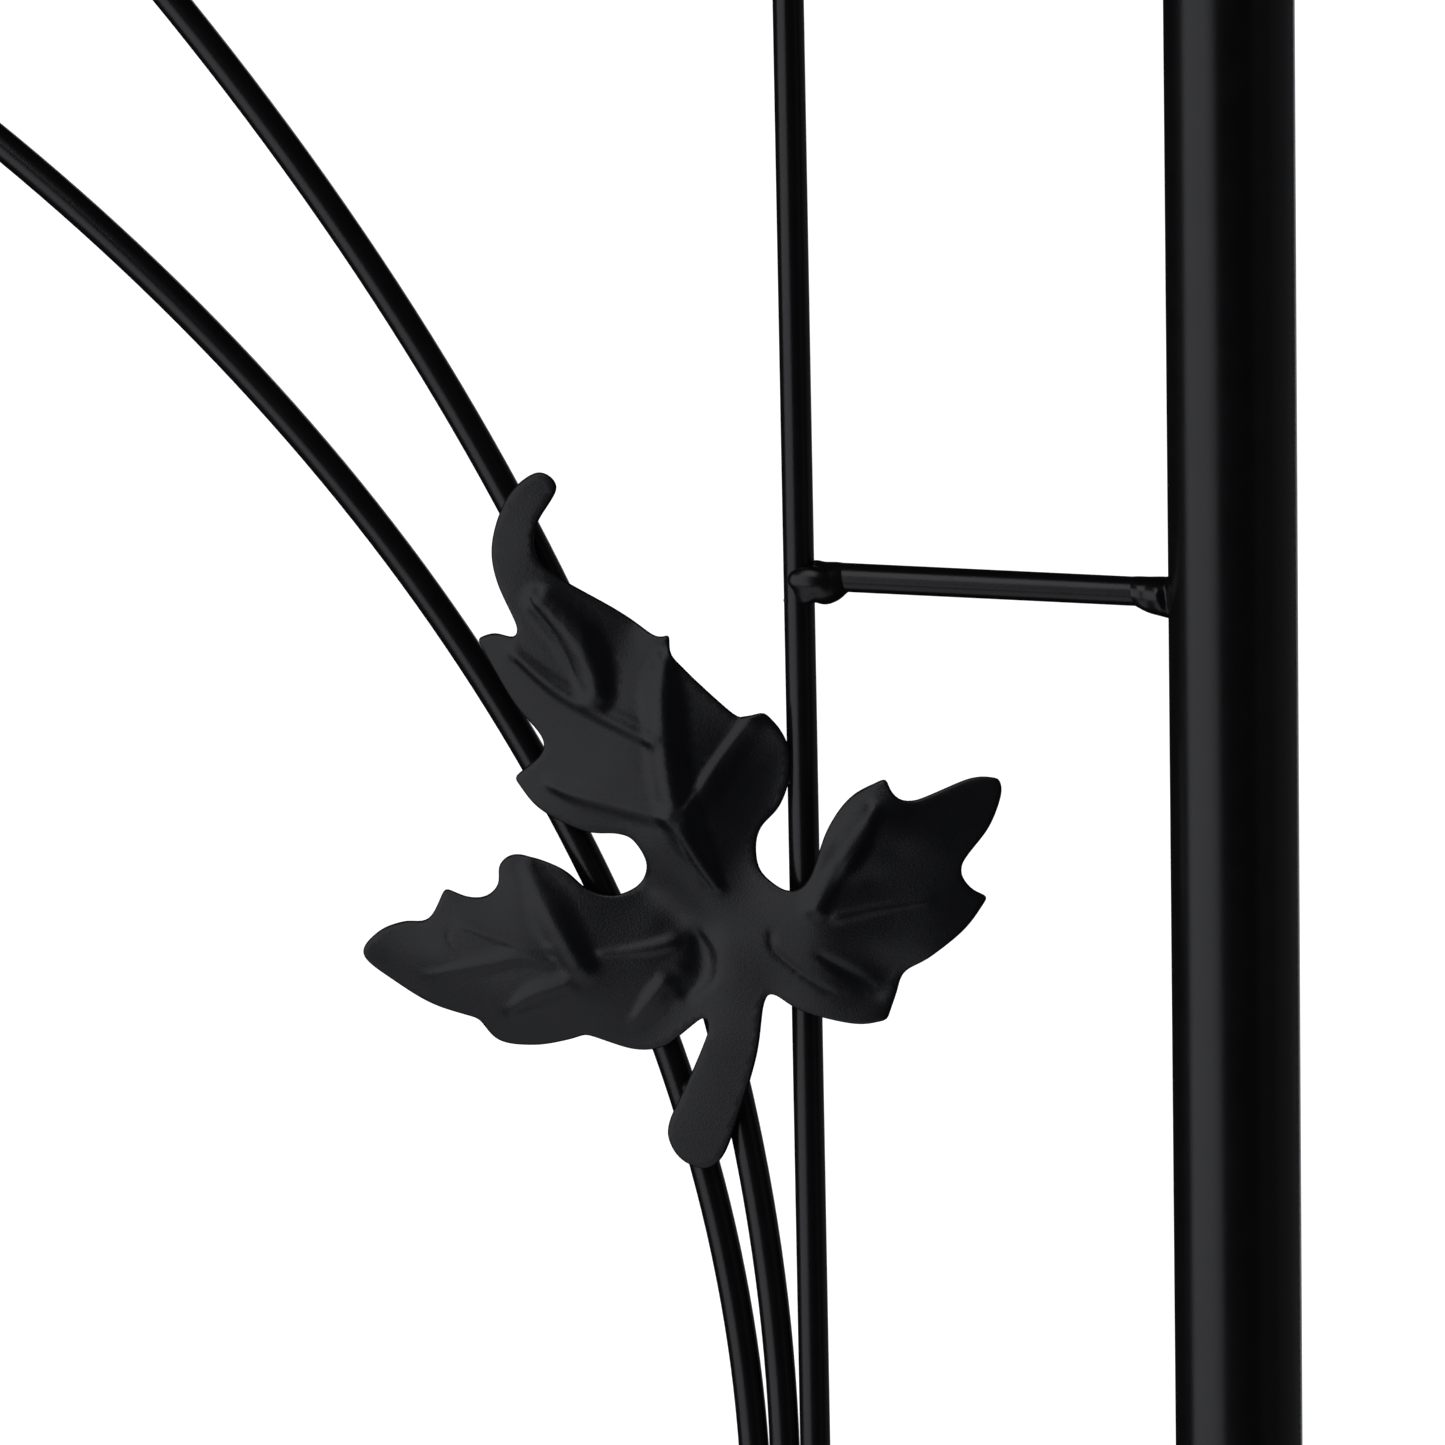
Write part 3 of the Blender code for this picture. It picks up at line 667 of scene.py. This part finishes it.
def add_hoop(corner, sx, paint):
    """Half of a roof hoop, with the narrowed end that drops into the post."""
    radius, crown, centre_y, spring_z = roof_over(corner)
    arc = roof_stations(radius, 0, crown, centre_y, spring_z)
    start = arc[0][0]
    last, last_along = arc[-1]
    spigot_end = start - Z_AXIS * SPIGOT_LENGTH
    shoulder = start + Z_AXIS * CUT_EDGE
    outer = [(spigot_end, Z_AXIS, SPIGOT_R), (start, Z_AXIS, SPIGOT_R)]
    outer += [(start, Z_AXIS, TUBE_R - CUT_EDGE), (shoulder, Z_AXIS, TUBE_R)]
    outer += [(at, along, TUBE_R) for at, along in arc[1:-1]]
    outer += [(last - last_along * CUT_EDGE, last_along, TUBE_R)]
    outer += [(last, last_along, TUBE_R - CUT_EDGE)]
    inner = [(spigot_end, Z_AXIS, SPIGOT_R - WALL), (*arc[1], SPIGOT_R - WALL)]
    inner += [(at, along, BORE) for at, along in arc[2:]]
    mesh = pipe_mesh(corner + "_hoop", outer, inner, Y_AXIS)
    mesh = moved(mesh, Matrix.Scale(sx, 4, X_AXIS), corner + "_hoop_pipe")
    add_piece(corner + "_hoop_look", mesh, paint, "frame_tube", corner + "_hoop")


def add_roof_rod(corner, sx, paint):
    name = corner + "_roof_rod"
    low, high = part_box(name)
    radius, crown, _, spring_z = roof_over(corner)
    start = math.asin((low.z + ROD_R * ROOF_ROD_DROP - spring_z) / radius)
    path = roof_stations(radius, start, crown, (low.y + high.y) / 2, spring_z)
    mesh = bar_mesh(name, path, Y_AXIS)
    mesh = moved(mesh, Matrix.Scale(sx, 4, X_AXIS), name + "_bar")
    add_piece(name + "_look", mesh, paint, "trellis_rod", name)


def build_tubes(paint, rod_paint):
    """Posts, roof hoops, and the thin rods between the hoops."""
    for corner, sx, _ in corners():
        add_post(corner, paint)
        add_hoop(corner, sx, paint)
        add_roof_rod(corner, sx, rod_paint)


def plate_mesh(low, high):
    """A flat square plate with round corners, four screw holes and rounded-over edges."""
    centre = (low + high) / 2
    half = (high.x - low.x) / 2
    corner_at = half - PLATE_CORNER
    bm = bmesh.new()
    outline = []
    for quarter, (sx, sy) in enumerate(((1, 1), (-1, 1), (-1, -1), (1, -1))):
        for step in range(PLATE_CORNER_STEPS + 1):
            angle = math.radians(90 * quarter + 90 * step / PLATE_CORNER_STEPS)
            x = centre.x + sx * corner_at + PLATE_CORNER * math.cos(angle)
            y = centre.y + sy * corner_at + PLATE_CORNER * math.sin(angle)
            outline.append((x, y))
    rings = [[bm.verts.new((x, y, z)) for x, y in outline] for z in (low.z, high.z)]
    skin(bm, rings)
    bm.faces.new(rings[0])
    bm.faces.new(rings[1])
    plate = finish_mesh(bm, "plate_blank")

    bm = bmesh.new()
    for sx in (-1, 1):
        for sy in (-1, 1):
            at = Vector((centre.x + sx * PLATE_HOLE_AT, centre.y + sy * PLATE_HOLE_AT, 0))
            ends = (at + Z_AXIS * (low.z - DRILL_PAST), at + Z_AXIS * (high.z + DRILL_PAST))
            drill = [add_ring(bm, end, Z_AXIS, X_AXIS, PLATE_HOLE_R, PLATE_HOLE_SIDES) for end in ends]
            skin(bm, drill)
            bm.faces.new(drill[0])
            bm.faces.new(drill[1])
    return cut_by(plate, finish_mesh(bm, "plate_drills"), "foot_plate", PLATE_EDGE)


def screw_mesh():
    """A pan head screw with a cross recess, its head up."""
    bm = bmesh.new()
    profile = [(Z_AXIS * height, r) for r, height in SCREW_PROFILE]
    rings = [add_ring(bm, at, Z_AXIS, X_AXIS, r, SCREW_SIDES) for at, r in profile]
    skin(bm, rings)
    bm.faces.new(rings[0])
    bm.faces.new(rings[-1])
    head = finish_mesh(bm, "screw_blank", SCREW_CREASE)

    bm = bmesh.new()
    top = SCREW_PROFILE[-1][1]
    half = RECESS_WIDTH / 2
    floor = (top - RECESS_DEPTH, half * RECESS_FLOOR_WIDTH, RECESS_ARM * RECESS_FLOOR_ARM)
    mouth = (top + RECESS_PAST, half, RECESS_ARM)
    rings = []
    for z, w, arm in (floor, mouth):
        cross = (
            (arm, w), (w, w), (w, arm), (-w, arm), (-w, w), (-arm, w),
            (-arm, -w), (-w, -w), (-w, -arm), (w, -arm), (w, -w), (arm, -w),
        )
        rings.append([bm.verts.new((x, y, z)) for x, y in cross])
    skin(bm, rings)
    bm.faces.new(rings[0])
    bm.faces.new(rings[1])
    return cut_by(head, finish_mesh(bm, "screw_cross"), "pan_screw")


def build_fittings(plate_paint, screw_paint):
    screw = screw_mesh()
    head = SCREW_PROFILE[-1][1]
    for corner, sx, _ in corners():
        name = corner + "_foot_plate"
        add_piece(name + "_look", plate_mesh(*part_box(name)), plate_paint, "foot_plate", name)

        name = corner + "_post_screw"
        low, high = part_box(name)
        outside = (high if sx > 0 else low).x - sx * head
        middle = (low + high) / 2
        place = Matrix.Translation((outside, middle.y, middle.z))
        mesh = moved(screw, place @ Matrix.Rotation(sx * math.pi / 2, 4, "Y"), name + "_pan")
        add_piece(name + "_look", mesh, screw_paint, "screw", name)

        name = corner + "_crown_screw"
        middle = middle_of(name)
        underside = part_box(corner + "_hoop")[1].z - 2 * TUBE_R
        place = Matrix.Translation((middle.x, middle.y, underside))
        mesh = moved(screw, place @ Matrix.Rotation(math.pi, 4, "X"), name + "_pan")
        add_piece(name + "_look", mesh, screw_paint, "screw", name)


# Leaf


def ridge(points, line, left, right):
    """How far up a ridge along a line each point lies, 0 to 1; a ridge narrows where it is lower."""
    nearest = np.full(len(points), np.inf)
    side = np.zeros(len(points))
    strength = np.zeros(len(points))
    for start, end in zip(line, line[1:]):
        along = (end - start)[:2]
        length = np.linalg.norm(along)
        offset = points - start[:2]
        share = np.clip(offset @ along / length**2, 0, 1)
        away = offset - share[:, None] * along
        distance = np.linalg.norm(away, axis=1)
        turn = away[:, 0] * along[1] - away[:, 1] * along[0]
        closer = distance < nearest
        nearest[closer] = distance[closer]
        side[closer] = (turn / (length * np.maximum(distance, TINY)))[closer]
        strength[closer] = (start[2] + (end[2] - start[2]) * share)[closer]
    width = strength * (left + (right - left) * (1 + side) / 2)
    return strength * (1 + np.cos(np.pi * np.clip(nearest / width, 0, 1))) / 2


def bend(distances):
    """Thin plate kernel."""
    squares = np.maximum(distances, TINY) ** 2
    return squares * np.log(squares)


def bent_heights(points):
    """The smooth sheet through the points of LEAF_FORM."""
    form = np.array(LEAF_FORM)
    places, offs = form[:, :2], form[:, 2]
    count = len(form)
    system = np.zeros((count + 3, count + 3))
    system[:count, :count] = bend(np.linalg.norm(places[:, None] - places[None], axis=2))
    system[:count, count] = 1
    system[:count, count + 1:] = places
    system[count:, :count] = system[:count, count:].T
    weights = np.linalg.solve(system, np.concatenate([offs, np.zeros(3)]))
    heights = weights[count] + points @ weights[count + 1:]
    return heights + bend(np.linalg.norm(points[:, None] - places[None], axis=2)) @ weights[:count]


def leaf_heights(points):
    heights = bent_heights(points)
    for height, left, right, line in LEAF_RELIEF:
        fine = np.array(smooth_line(line, RIDGE_STEP) + [Vector(line[-1])])
        heights += height * ridge(points, fine, left, right)
    return heights


def leaf_outline():
    """The edge of the leaf as one closed line, its teeth slightly rounded, anticlockwise."""
    runs = [*LEAF_EDGE, LEAF_EDGE[0]]
    line = []
    for run, following in zip(runs, runs[1:]):
        line += smooth_line((*run, following[0]), EDGE_STEP)
    for _ in range(EDGE_ROUNDS):
        around = zip(line[-1:] + line[:-1], line, line[1:] + line[:1])
        line = [(before + 2 * at + after) / 4 for before, at, after in around]
    return line[::-1]


def vein_points():
    """Rows of points along every vein, close enough to carry its shape."""
    rows = []
    for _, left, right, line in LEAF_RELIEF:
        fine = smooth_line(line, VEIN_STEP)
        for before, after in zip(fine, fine[1:]):
            across = (after - before).to_2d().normalized().orthogonal()
            for share in VEIN_ROWS:
                width = before.z * (right if share < 0 else left)
                rows.append(before.to_2d() + across * share * width)
    return rows


def spread_out(points, edge):
    """The points that lie clear of the edge line and of the ones before them."""
    keep = []
    fixed = kdtree.KDTree(len(edge))
    for i, at in enumerate(edge):
        fixed.insert(at.to_3d(), i)
    fixed.balance()
    cells = {}
    for point in points:
        if fixed.find(point.to_3d())[2] < EDGE_STEP * EDGE_CLEAR:
            continue
        cell = (int(point.x // VEIN_CLEAR), int(point.y // VEIN_CLEAR))
        near = [cells.get((cell[0] + i, cell[1] + j)) for i in (-1, 0, 1) for j in (-1, 0, 1)]
        if any(other and (other - point).length < VEIN_CLEAR for other in near):
            continue
        cells[cell] = point
        keep.append(point)
    return keep


def fill_points(inset):
    """Points to hang the sheet on inside its edge line: along the veins, then an even grid between them."""
    low = Vector((min(p.x for p in inset), min(p.y for p in inset)))
    high = Vector((max(p.x for p in inset), max(p.y for p in inset)))
    row_gap = LEAF_GRID * math.sqrt(3) / 2
    grid = []
    for row in range(int((high.y - low.y) / row_gap)):
        for column in range(int((high.x - low.x) / LEAF_GRID)):
            shift = LEAF_GRID / 2 * (row % 2)
            grid.append(low + Vector((column * LEAF_GRID + shift, row * row_gap)))
    return spread_out(vein_points() + grid, inset)


def leaf_mesh():
    """The stamped sheet, its edge rounded; the rods lie in the plane x = 0 and the path is at -X."""
    outline = leaf_outline()
    count = len(outline)
    half = LEAF_T / 2
    outward = []
    for before, after in zip(outline[-1:] + outline[:-1], outline[1:] + outline[:1]):
        along = (after - before).normalized()
        outward.append(Vector((along.y, -along.x)))
    inset = [at - half * out for at, out in zip(outline, outward)]
    edges = [(i, (i + 1) % count) for i in range(count)]
    points = inset + fill_points(inset)
    flat, _, faces, *_ = delaunay_2d_cdt(points, edges, [], TRIANGLES_INSIDE, MERGE_WITHIN)
    heights = leaf_heights(np.array([tuple(p) for p in flat]))

    bm = bmesh.new()
    layers = []
    for lift in (0.0, LEAF_T):
        layer = [bm.verts.new((-LEAF_BACK - h - lift, p.x, p.y)) for p, h in zip(flat, heights)]
        layers.append(layer)
        for face in faces:
            bm.faces.new([layer[i] for i in face])
    rings = [layers[0][:count]]
    for step in range(1, RIM_STEPS):
        angle = math.pi * step / RIM_STEPS
        ring = []
        for at, out, h in zip(inset, outward, heights):
            p = at + out * half * math.sin(angle)
            off = LEAF_BACK + h + half - half * math.cos(angle)
            ring.append(bm.verts.new((-off, p.x, p.y)))
        rings.append(ring)
    rings.append(layers[1][:count])
    skin(bm, rings)
    loose = [vert for vert in bm.verts if not vert.link_faces]
    bmesh.ops.delete(bm, geom=loose, context="VERTS")
    bm.transform(Matrix.Scale(1 / MM_IN_M, 4))
    return finish_mesh(bm, "leaf", LEAF_CREASE)


def leaf_heart(corner):
    """Where a leaf's drawing starts: its heart, in the plane of the rods, from the leaf solid's place."""
    low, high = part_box(corner + "_leaf")
    drawn = [point for run in LEAF_EDGE for point in run]
    inmost = min(right for right, _ in drawn) / MM_IN_M
    lowest = min(above for _, above in drawn) / MM_IN_M
    sx = math.copysign(1, low.x)
    sy = math.copysign(1, low.y)
    x = max(abs(low.x), abs(high.x)) + LEAF_BACK / MM_IN_M
    y = min(abs(low.y), abs(high.y)) - inmost
    return Vector((sx * x, sy * y, low.z - lowest))


def build_leaves(paint):
    leaf = leaf_mesh()
    for corner, sx, sy in corners():
        place = Matrix.Translation(leaf_heart(corner))
        mesh = moved(leaf, place @ Matrix.Diagonal((sx, sy, 1, 1)), corner + "_leaf_sheet", LEAF_CREASE)
        add_piece(corner + "_leaf_look", mesh, paint, "leaf", corner + "_leaf")


# Welds


def bead_mesh(balls, name, smoothing=BEAD_SMOOTHING, run_in=None):
    """Balls, and a run of weld if one is given, melted into one closed lump; the lump is in metres."""
    bm = bmesh.new()
    if run_in:
        bm.from_mesh(run_in)
    for place, sizes in balls:
        at = Matrix.Translation(Vector(place) / MM_IN_M)
        matrix = at @ Matrix.Diagonal((*(size / MM_IN_M for size in sizes), 1))
        bmesh.ops.create_icosphere(bm, subdivisions=BALL_DETAIL, radius=1, matrix=matrix)
    mesh = bpy.data.meshes.new(name)
    bm.to_mesh(mesh)
    bm.free()
    lump = solid_from(mesh, name)
    run = lump.modifiers.new("run_together", "REMESH")
    run.mode = "VOXEL"
    run.voxel_size = BEAD_VOXEL
    run.use_smooth_shade = True
    soften = lump.modifiers.new("soften", "SMOOTH")
    soften.iterations = smoothing
    return applied(lump, name)


def run_mesh(stations, name):
    """A run of weld round a rod, through rings that lean back towards its start at the top."""
    bm = bmesh.new()
    rings = []
    for along, above, below, out in smooth_line(stations, BEAD_STEP):
        ring = []
        for step in range(BEAD_SIDES):
            turn = 2 * math.pi * step / BEAD_SIDES
            up = (above if math.sin(turn) > 0 else below) * math.sin(turn)
            ring.append(bm.verts.new((along - BEAD_SLANT * up, up, out * math.cos(turn))))
        rings.append(ring)
    skin(bm, rings)
    bm.faces.new(rings[0])
    bm.faces.new(rings[-1])
    bm.transform(Matrix.Scale(1 / MM_IN_M, 4))
    return finish_mesh(bm, name, WELD_CREASE)


def spatter_mesh():
    bm = bmesh.new()
    for right, above, out, radius in SPATTER:
        at = Matrix.Translation((right, above, out))
        bmesh.ops.create_icosphere(bm, subdivisions=SPATTER_DETAIL, radius=radius, matrix=at)
    bm.transform(Matrix.Scale(1 / MM_IN_M, 4))
    return finish_mesh(bm, "spatter", WELD_CREASE)


def foot_bead_mesh():
    """A rippled fillet round a post, lying on its foot plate, about the post's axis."""
    bm = bmesh.new()
    steps = FOOT_RIPPLES * FOOT_STEPS_EACH
    rings = []
    for step in range(steps):
        turn = 2 * math.pi * step / steps
        place = FOOT_RIPPLES * turn + FOOT_UNEVENNESS * math.sin(3 * turn)
        ripple = 1 + FOOT_RIPPLE_HEIGHT * math.cos(place) + FOOT_SWELL * math.sin(5 * turn)
        out = Vector((math.cos(turn), math.sin(turn), 0))
        along = Vector((-math.sin(turn), math.cos(turn), 0))
        centre = out * (TUBE_R + FOOT_BEAD_OUT)
        rings.append(add_ring(bm, centre, along, Z_AXIS, FOOT_BEAD_R * ripple, FOOT_BEAD_SIDES))
    skin(bm, [*rings, rings[0]])
    return finish_mesh(bm, "foot_bead", WELD_CREASE)


def joined(parts, name):
    """One mesh from (mesh, matrix) pairs."""
    bm = bmesh.new()
    for mesh, matrix in parts:
        copy = mesh.copy()
        copy.transform(matrix)
        bm.from_mesh(copy)
        bpy.data.meshes.remove(copy)
    return finish_mesh(bm, name, WELD_CREASE)


def axes(first, second, third, at):
    """The matrix that lays a bead's three axes along these directions at a place."""
    matrix = Matrix((first, second, third)).transposed().to_4x4()
    matrix.translation = at
    return matrix


def corner_beads():
    """Every weld of the panel corner at +X, +Y."""
    corner = "right_rear"
    upright = middle_of(corner + "_upright")
    post = middle_of(corner + "_post")
    spacer = middle_of(corner + "_spacer")
    x = upright.x
    beads = []
    at_upright = axes(Y_AXIS, Z_AXIS, -X_AXIS, Vector((x, upright.y, spacer.z)))
    run = run_mesh(UPRIGHT_RUN, "upright_run")
    beads.append((bead_mesh(UPRIGHT_BEAD, "upright_bead", LARGE_BEAD_SMOOTHING, run), at_upright))
    beads.append((spatter_mesh(), at_upright))
    at_post = axes(Y_AXIS, Z_AXIS, -X_AXIS, Vector((x, post.y - TUBE_R, spacer.z)))
    beads.append((run_mesh(POST_BEAD, "post_bead"), at_post))

    crossing = bead_mesh(CROSSING_BEAD, "crossing_bead")
    rail_end = bead_mesh(RAIL_END_BEAD, "rail_end_bead")
    low_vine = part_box(corner + "_low_vine")[1].y - ROD_R
    for number in RAILS:
        low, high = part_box(f"right_rail_{number}")
        rail = (low + high) / 2
        inner = low_vine if rail.z < VINE_ARCS["low_vine"][0] else upright.y
        between = (x + rail.x) / 2
        beads.append((crossing, axes(Y_AXIS, Z_AXIS, -X_AXIS, Vector((between, upright.y, rail.z)))))
        beads.append((crossing, axes(-Y_AXIS, -Z_AXIS, -X_AXIS, Vector((between, inner, rail.z)))))
        beads.append((rail_end, axes(Y_AXIS, Z_AXIS, X_AXIS, Vector((rail.x, high.y, rail.z)))))

    tacks = bead_mesh(LEAF_TACKS, "leaf_tacks")
    beads.append((tacks, axes(Y_AXIS, Z_AXIS, -X_AXIS, leaf_heart(corner))))
    foot = Vector((post.x, post.y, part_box(corner + "_foot_plate")[1].z))
    beads.append((foot_bead_mesh(), Matrix.Translation(foot)))
    return joined(beads, "corner_beads")


def roof_beads():
    """Welds of the rungs to the hoop and the thin roof rod, for the roof's quarter at +X, +Y."""
    corner = "right_rear"
    rod_y = middle_of(corner + "_roof_rod").y
    spring_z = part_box(corner + "_post")[1].z + GAP
    crossing = bead_mesh(CROSSING_BEAD, "rung_crossing_bead")
    rung_end = bead_mesh(RAIL_END_BEAD, "rung_end_bead")
    beads = []
    for number in RUNGS:
        low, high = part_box(f"right_rung_{number}")
        middle = (low + high) / 2
        arm = Vector((middle.x, 0, middle.z - spring_z))
        out = arm.normalized()
        up = out.cross(Y_AXIS).normalized() * -1
        end = Vector((middle.x, high.y, middle.z))
        beads.append((rung_end, axes(Y_AXIS, up, out, end)))
        at = Vector((middle.x, rod_y, middle.z)) - out * RAIL_OFFSET / 2
        beads.append((crossing, axes(Y_AXIS, up, -out, at)))
        beads.append((crossing, axes(-Y_AXIS, -up, -out, at)))
    return joined(beads, "roof_beads")


def tip_beads(side):
    """Welds where the front and rear vines of a panel meet."""
    lump = bead_mesh(TIP_BEAD, "tip_bead")
    beads = []
    for kind in VINE_ARCS:
        name = f"{side}_rear_{kind}"
        tip = vine_path(name, kind)[-1][0]
        at = Vector((tip.x, 0, tip.z))
        beads.append((lump, axes(Y_AXIS, Z_AXIS, -X_AXIS if side == "right" else X_AXIS, at)))
    return joined(beads, side + "_tip_beads")


def build_beads(paint):
    panel_quarter = corner_beads()
    roof_quarter = roof_beads()
    for corner, sx, sy in corners():
        turn = Matrix.Diagonal((sx, sy, 1, 1))
        panel = moved(panel_quarter, turn, corner + "_beads", WELD_CREASE)
        add_piece(corner + "_beads", panel, paint, "trellis_rod")
        roof = moved(roof_quarter, turn, corner + "_roof_beads", WELD_CREASE)
        add_piece(corner + "_roof_beads", roof, paint, "trellis_rod")
    for side in SIDES:
        add_piece(side + "_tip_beads", tip_beads(side), paint, "trellis_rod")


# Stage


def add_area_light(name, place, target, width, height, power):
    data = bpy.data.lights.new(name, "AREA")
    data.shape = "RECTANGLE"
    data.size = width
    data.size_y = height
    data.energy = power
    data.color = SOFTBOX_TINT
    light = bpy.data.objects.new(name, data)
    bpy.context.scene.collection.objects.link(light)
    light.location = place
    light.rotation_euler = (Vector(target) - Vector(place)).to_track_quat("-Z", "Y").to_euler()
    light.visible_camera = False


def build_stage(aim):
    scene = bpy.context.scene
    scene.view_settings.view_transform = "Standard"

    bm = bmesh.new()
    bmesh.ops.create_grid(bm, x_segments=FLOOR_SQUARES, y_segments=FLOOR_SQUARES, size=FLOOR_SIZE / 2)
    mesh = bpy.data.meshes.new("floor")
    bm.to_mesh(mesh)
    bm.free()
    floor = bpy.data.objects.new("floor", mesh)
    scene.collection.objects.link(floor)
    mesh.materials.append(floor_material())
    floor.visible_glossy = False
    floor.visible_diffuse = False

    sun_data = bpy.data.lights.new("floor_sun", "SUN")
    sun_data.energy = FLOOR_SUN
    sun_data.angle = math.radians(FLOOR_SUN_SPREAD)
    sun = bpy.data.objects.new("floor_sun", sun_data)
    scene.collection.objects.link(sun)
    sun.rotation_euler = (math.radians(FLOOR_SUN_TILT_X), math.radians(FLOOR_SUN_TILT_Y), 0)
    lit = bpy.data.collections.new("lit_by_floor_sun")
    lit.objects.link(floor)
    sun.light_linking.receiver_collection = lit

    for name, place, width, height, radiance in SOFTBOXES:
        power = radiance * math.pi * width * height
        add_area_light(name, aim + Vector(place), aim, width, height, power)

    world = bpy.data.worlds.new("studio")
    scene.world = world
    world.use_nodes = True
    tree = world.node_tree
    seen = tree.nodes["Background"]
    seen.inputs["Color"].default_value = WHITE
    seen.inputs["Strength"].default_value = WORLD_SEEN
    ray = tree.nodes.new("ShaderNodeLightPath")
    gloss = node(tree, "ShaderNodeBackground", Color=WHITE, Strength=WORLD_GLOSS)
    soft = node(tree, "ShaderNodeBackground", Color=WHITE, Strength=WORLD_SOFT)
    not_gloss = tree.nodes.new("ShaderNodeMixShader")
    tree.links.new(ray.outputs["Is Glossy Ray"], not_gloss.inputs["Fac"])
    tree.links.new(soft.outputs[0], not_gloss.inputs[1])
    tree.links.new(gloss.outputs[0], not_gloss.inputs[2])
    mixed = tree.nodes.new("ShaderNodeMixShader")
    tree.links.new(ray.outputs["Is Camera Ray"], mixed.inputs["Fac"])
    tree.links.new(not_gloss.outputs[0], mixed.inputs[1])
    tree.links.new(seen.outputs[0], mixed.inputs[2])
    tree.links.new(mixed.outputs[0], tree.nodes["World Output"].inputs["Surface"])


def build_camera(aim):
    yaw = math.radians(CAMERA_YAW)
    pitch = math.radians(CAMERA_PITCH)
    ahead = Vector((math.cos(yaw) * math.cos(pitch), math.sin(yaw) * math.cos(pitch), -math.sin(pitch)))
    data = bpy.data.cameras.new("camera")
    data.lens = CAMERA_LENS
    data.sensor_width = CAMERA_SENSOR
    data.clip_end = CAMERA_REACH
    camera = bpy.data.objects.new("camera", data)
    bpy.context.scene.collection.objects.link(camera)
    camera.location = aim - ahead * CAMERA_DISTANCE
    roll = Matrix.Rotation(math.radians(CAMERA_ROLL), 3, "Z")
    camera.rotation_euler = (ahead.to_track_quat("-Z", "Y").to_matrix() @ roll).to_euler()
    bpy.context.scene.camera = camera


def main():
    tube = paint_material("satin_black_tube", *TUBE_PAINT)
    rod = paint_material("satin_black_rod", *ROD_PAINT)
    leaf = paint_material("satin_black_leaf", *LEAF_PAINT)
    plate = paint_material("satin_black_plate", *PLATE_PAINT)
    screw = paint_material("black_oxide_screw", *SCREW_FINISH, metallic=1.0)
    build_rods(rod)
    build_tubes(tube, rod)
    build_fittings(plate, screw)
    build_leaves(leaf)
    build_beads(rod)
    for end in ENDS:
        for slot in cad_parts[end + "_crown_plug"].material_slots:
            slot.material = tube
    upright = middle_of("right_front_upright")
    aim = Vector((upright.x, upright.y, AIM_HEIGHT)) + AIM_FROM_UPRIGHT
    build_stage(aim)
    build_camera(aim)


main()
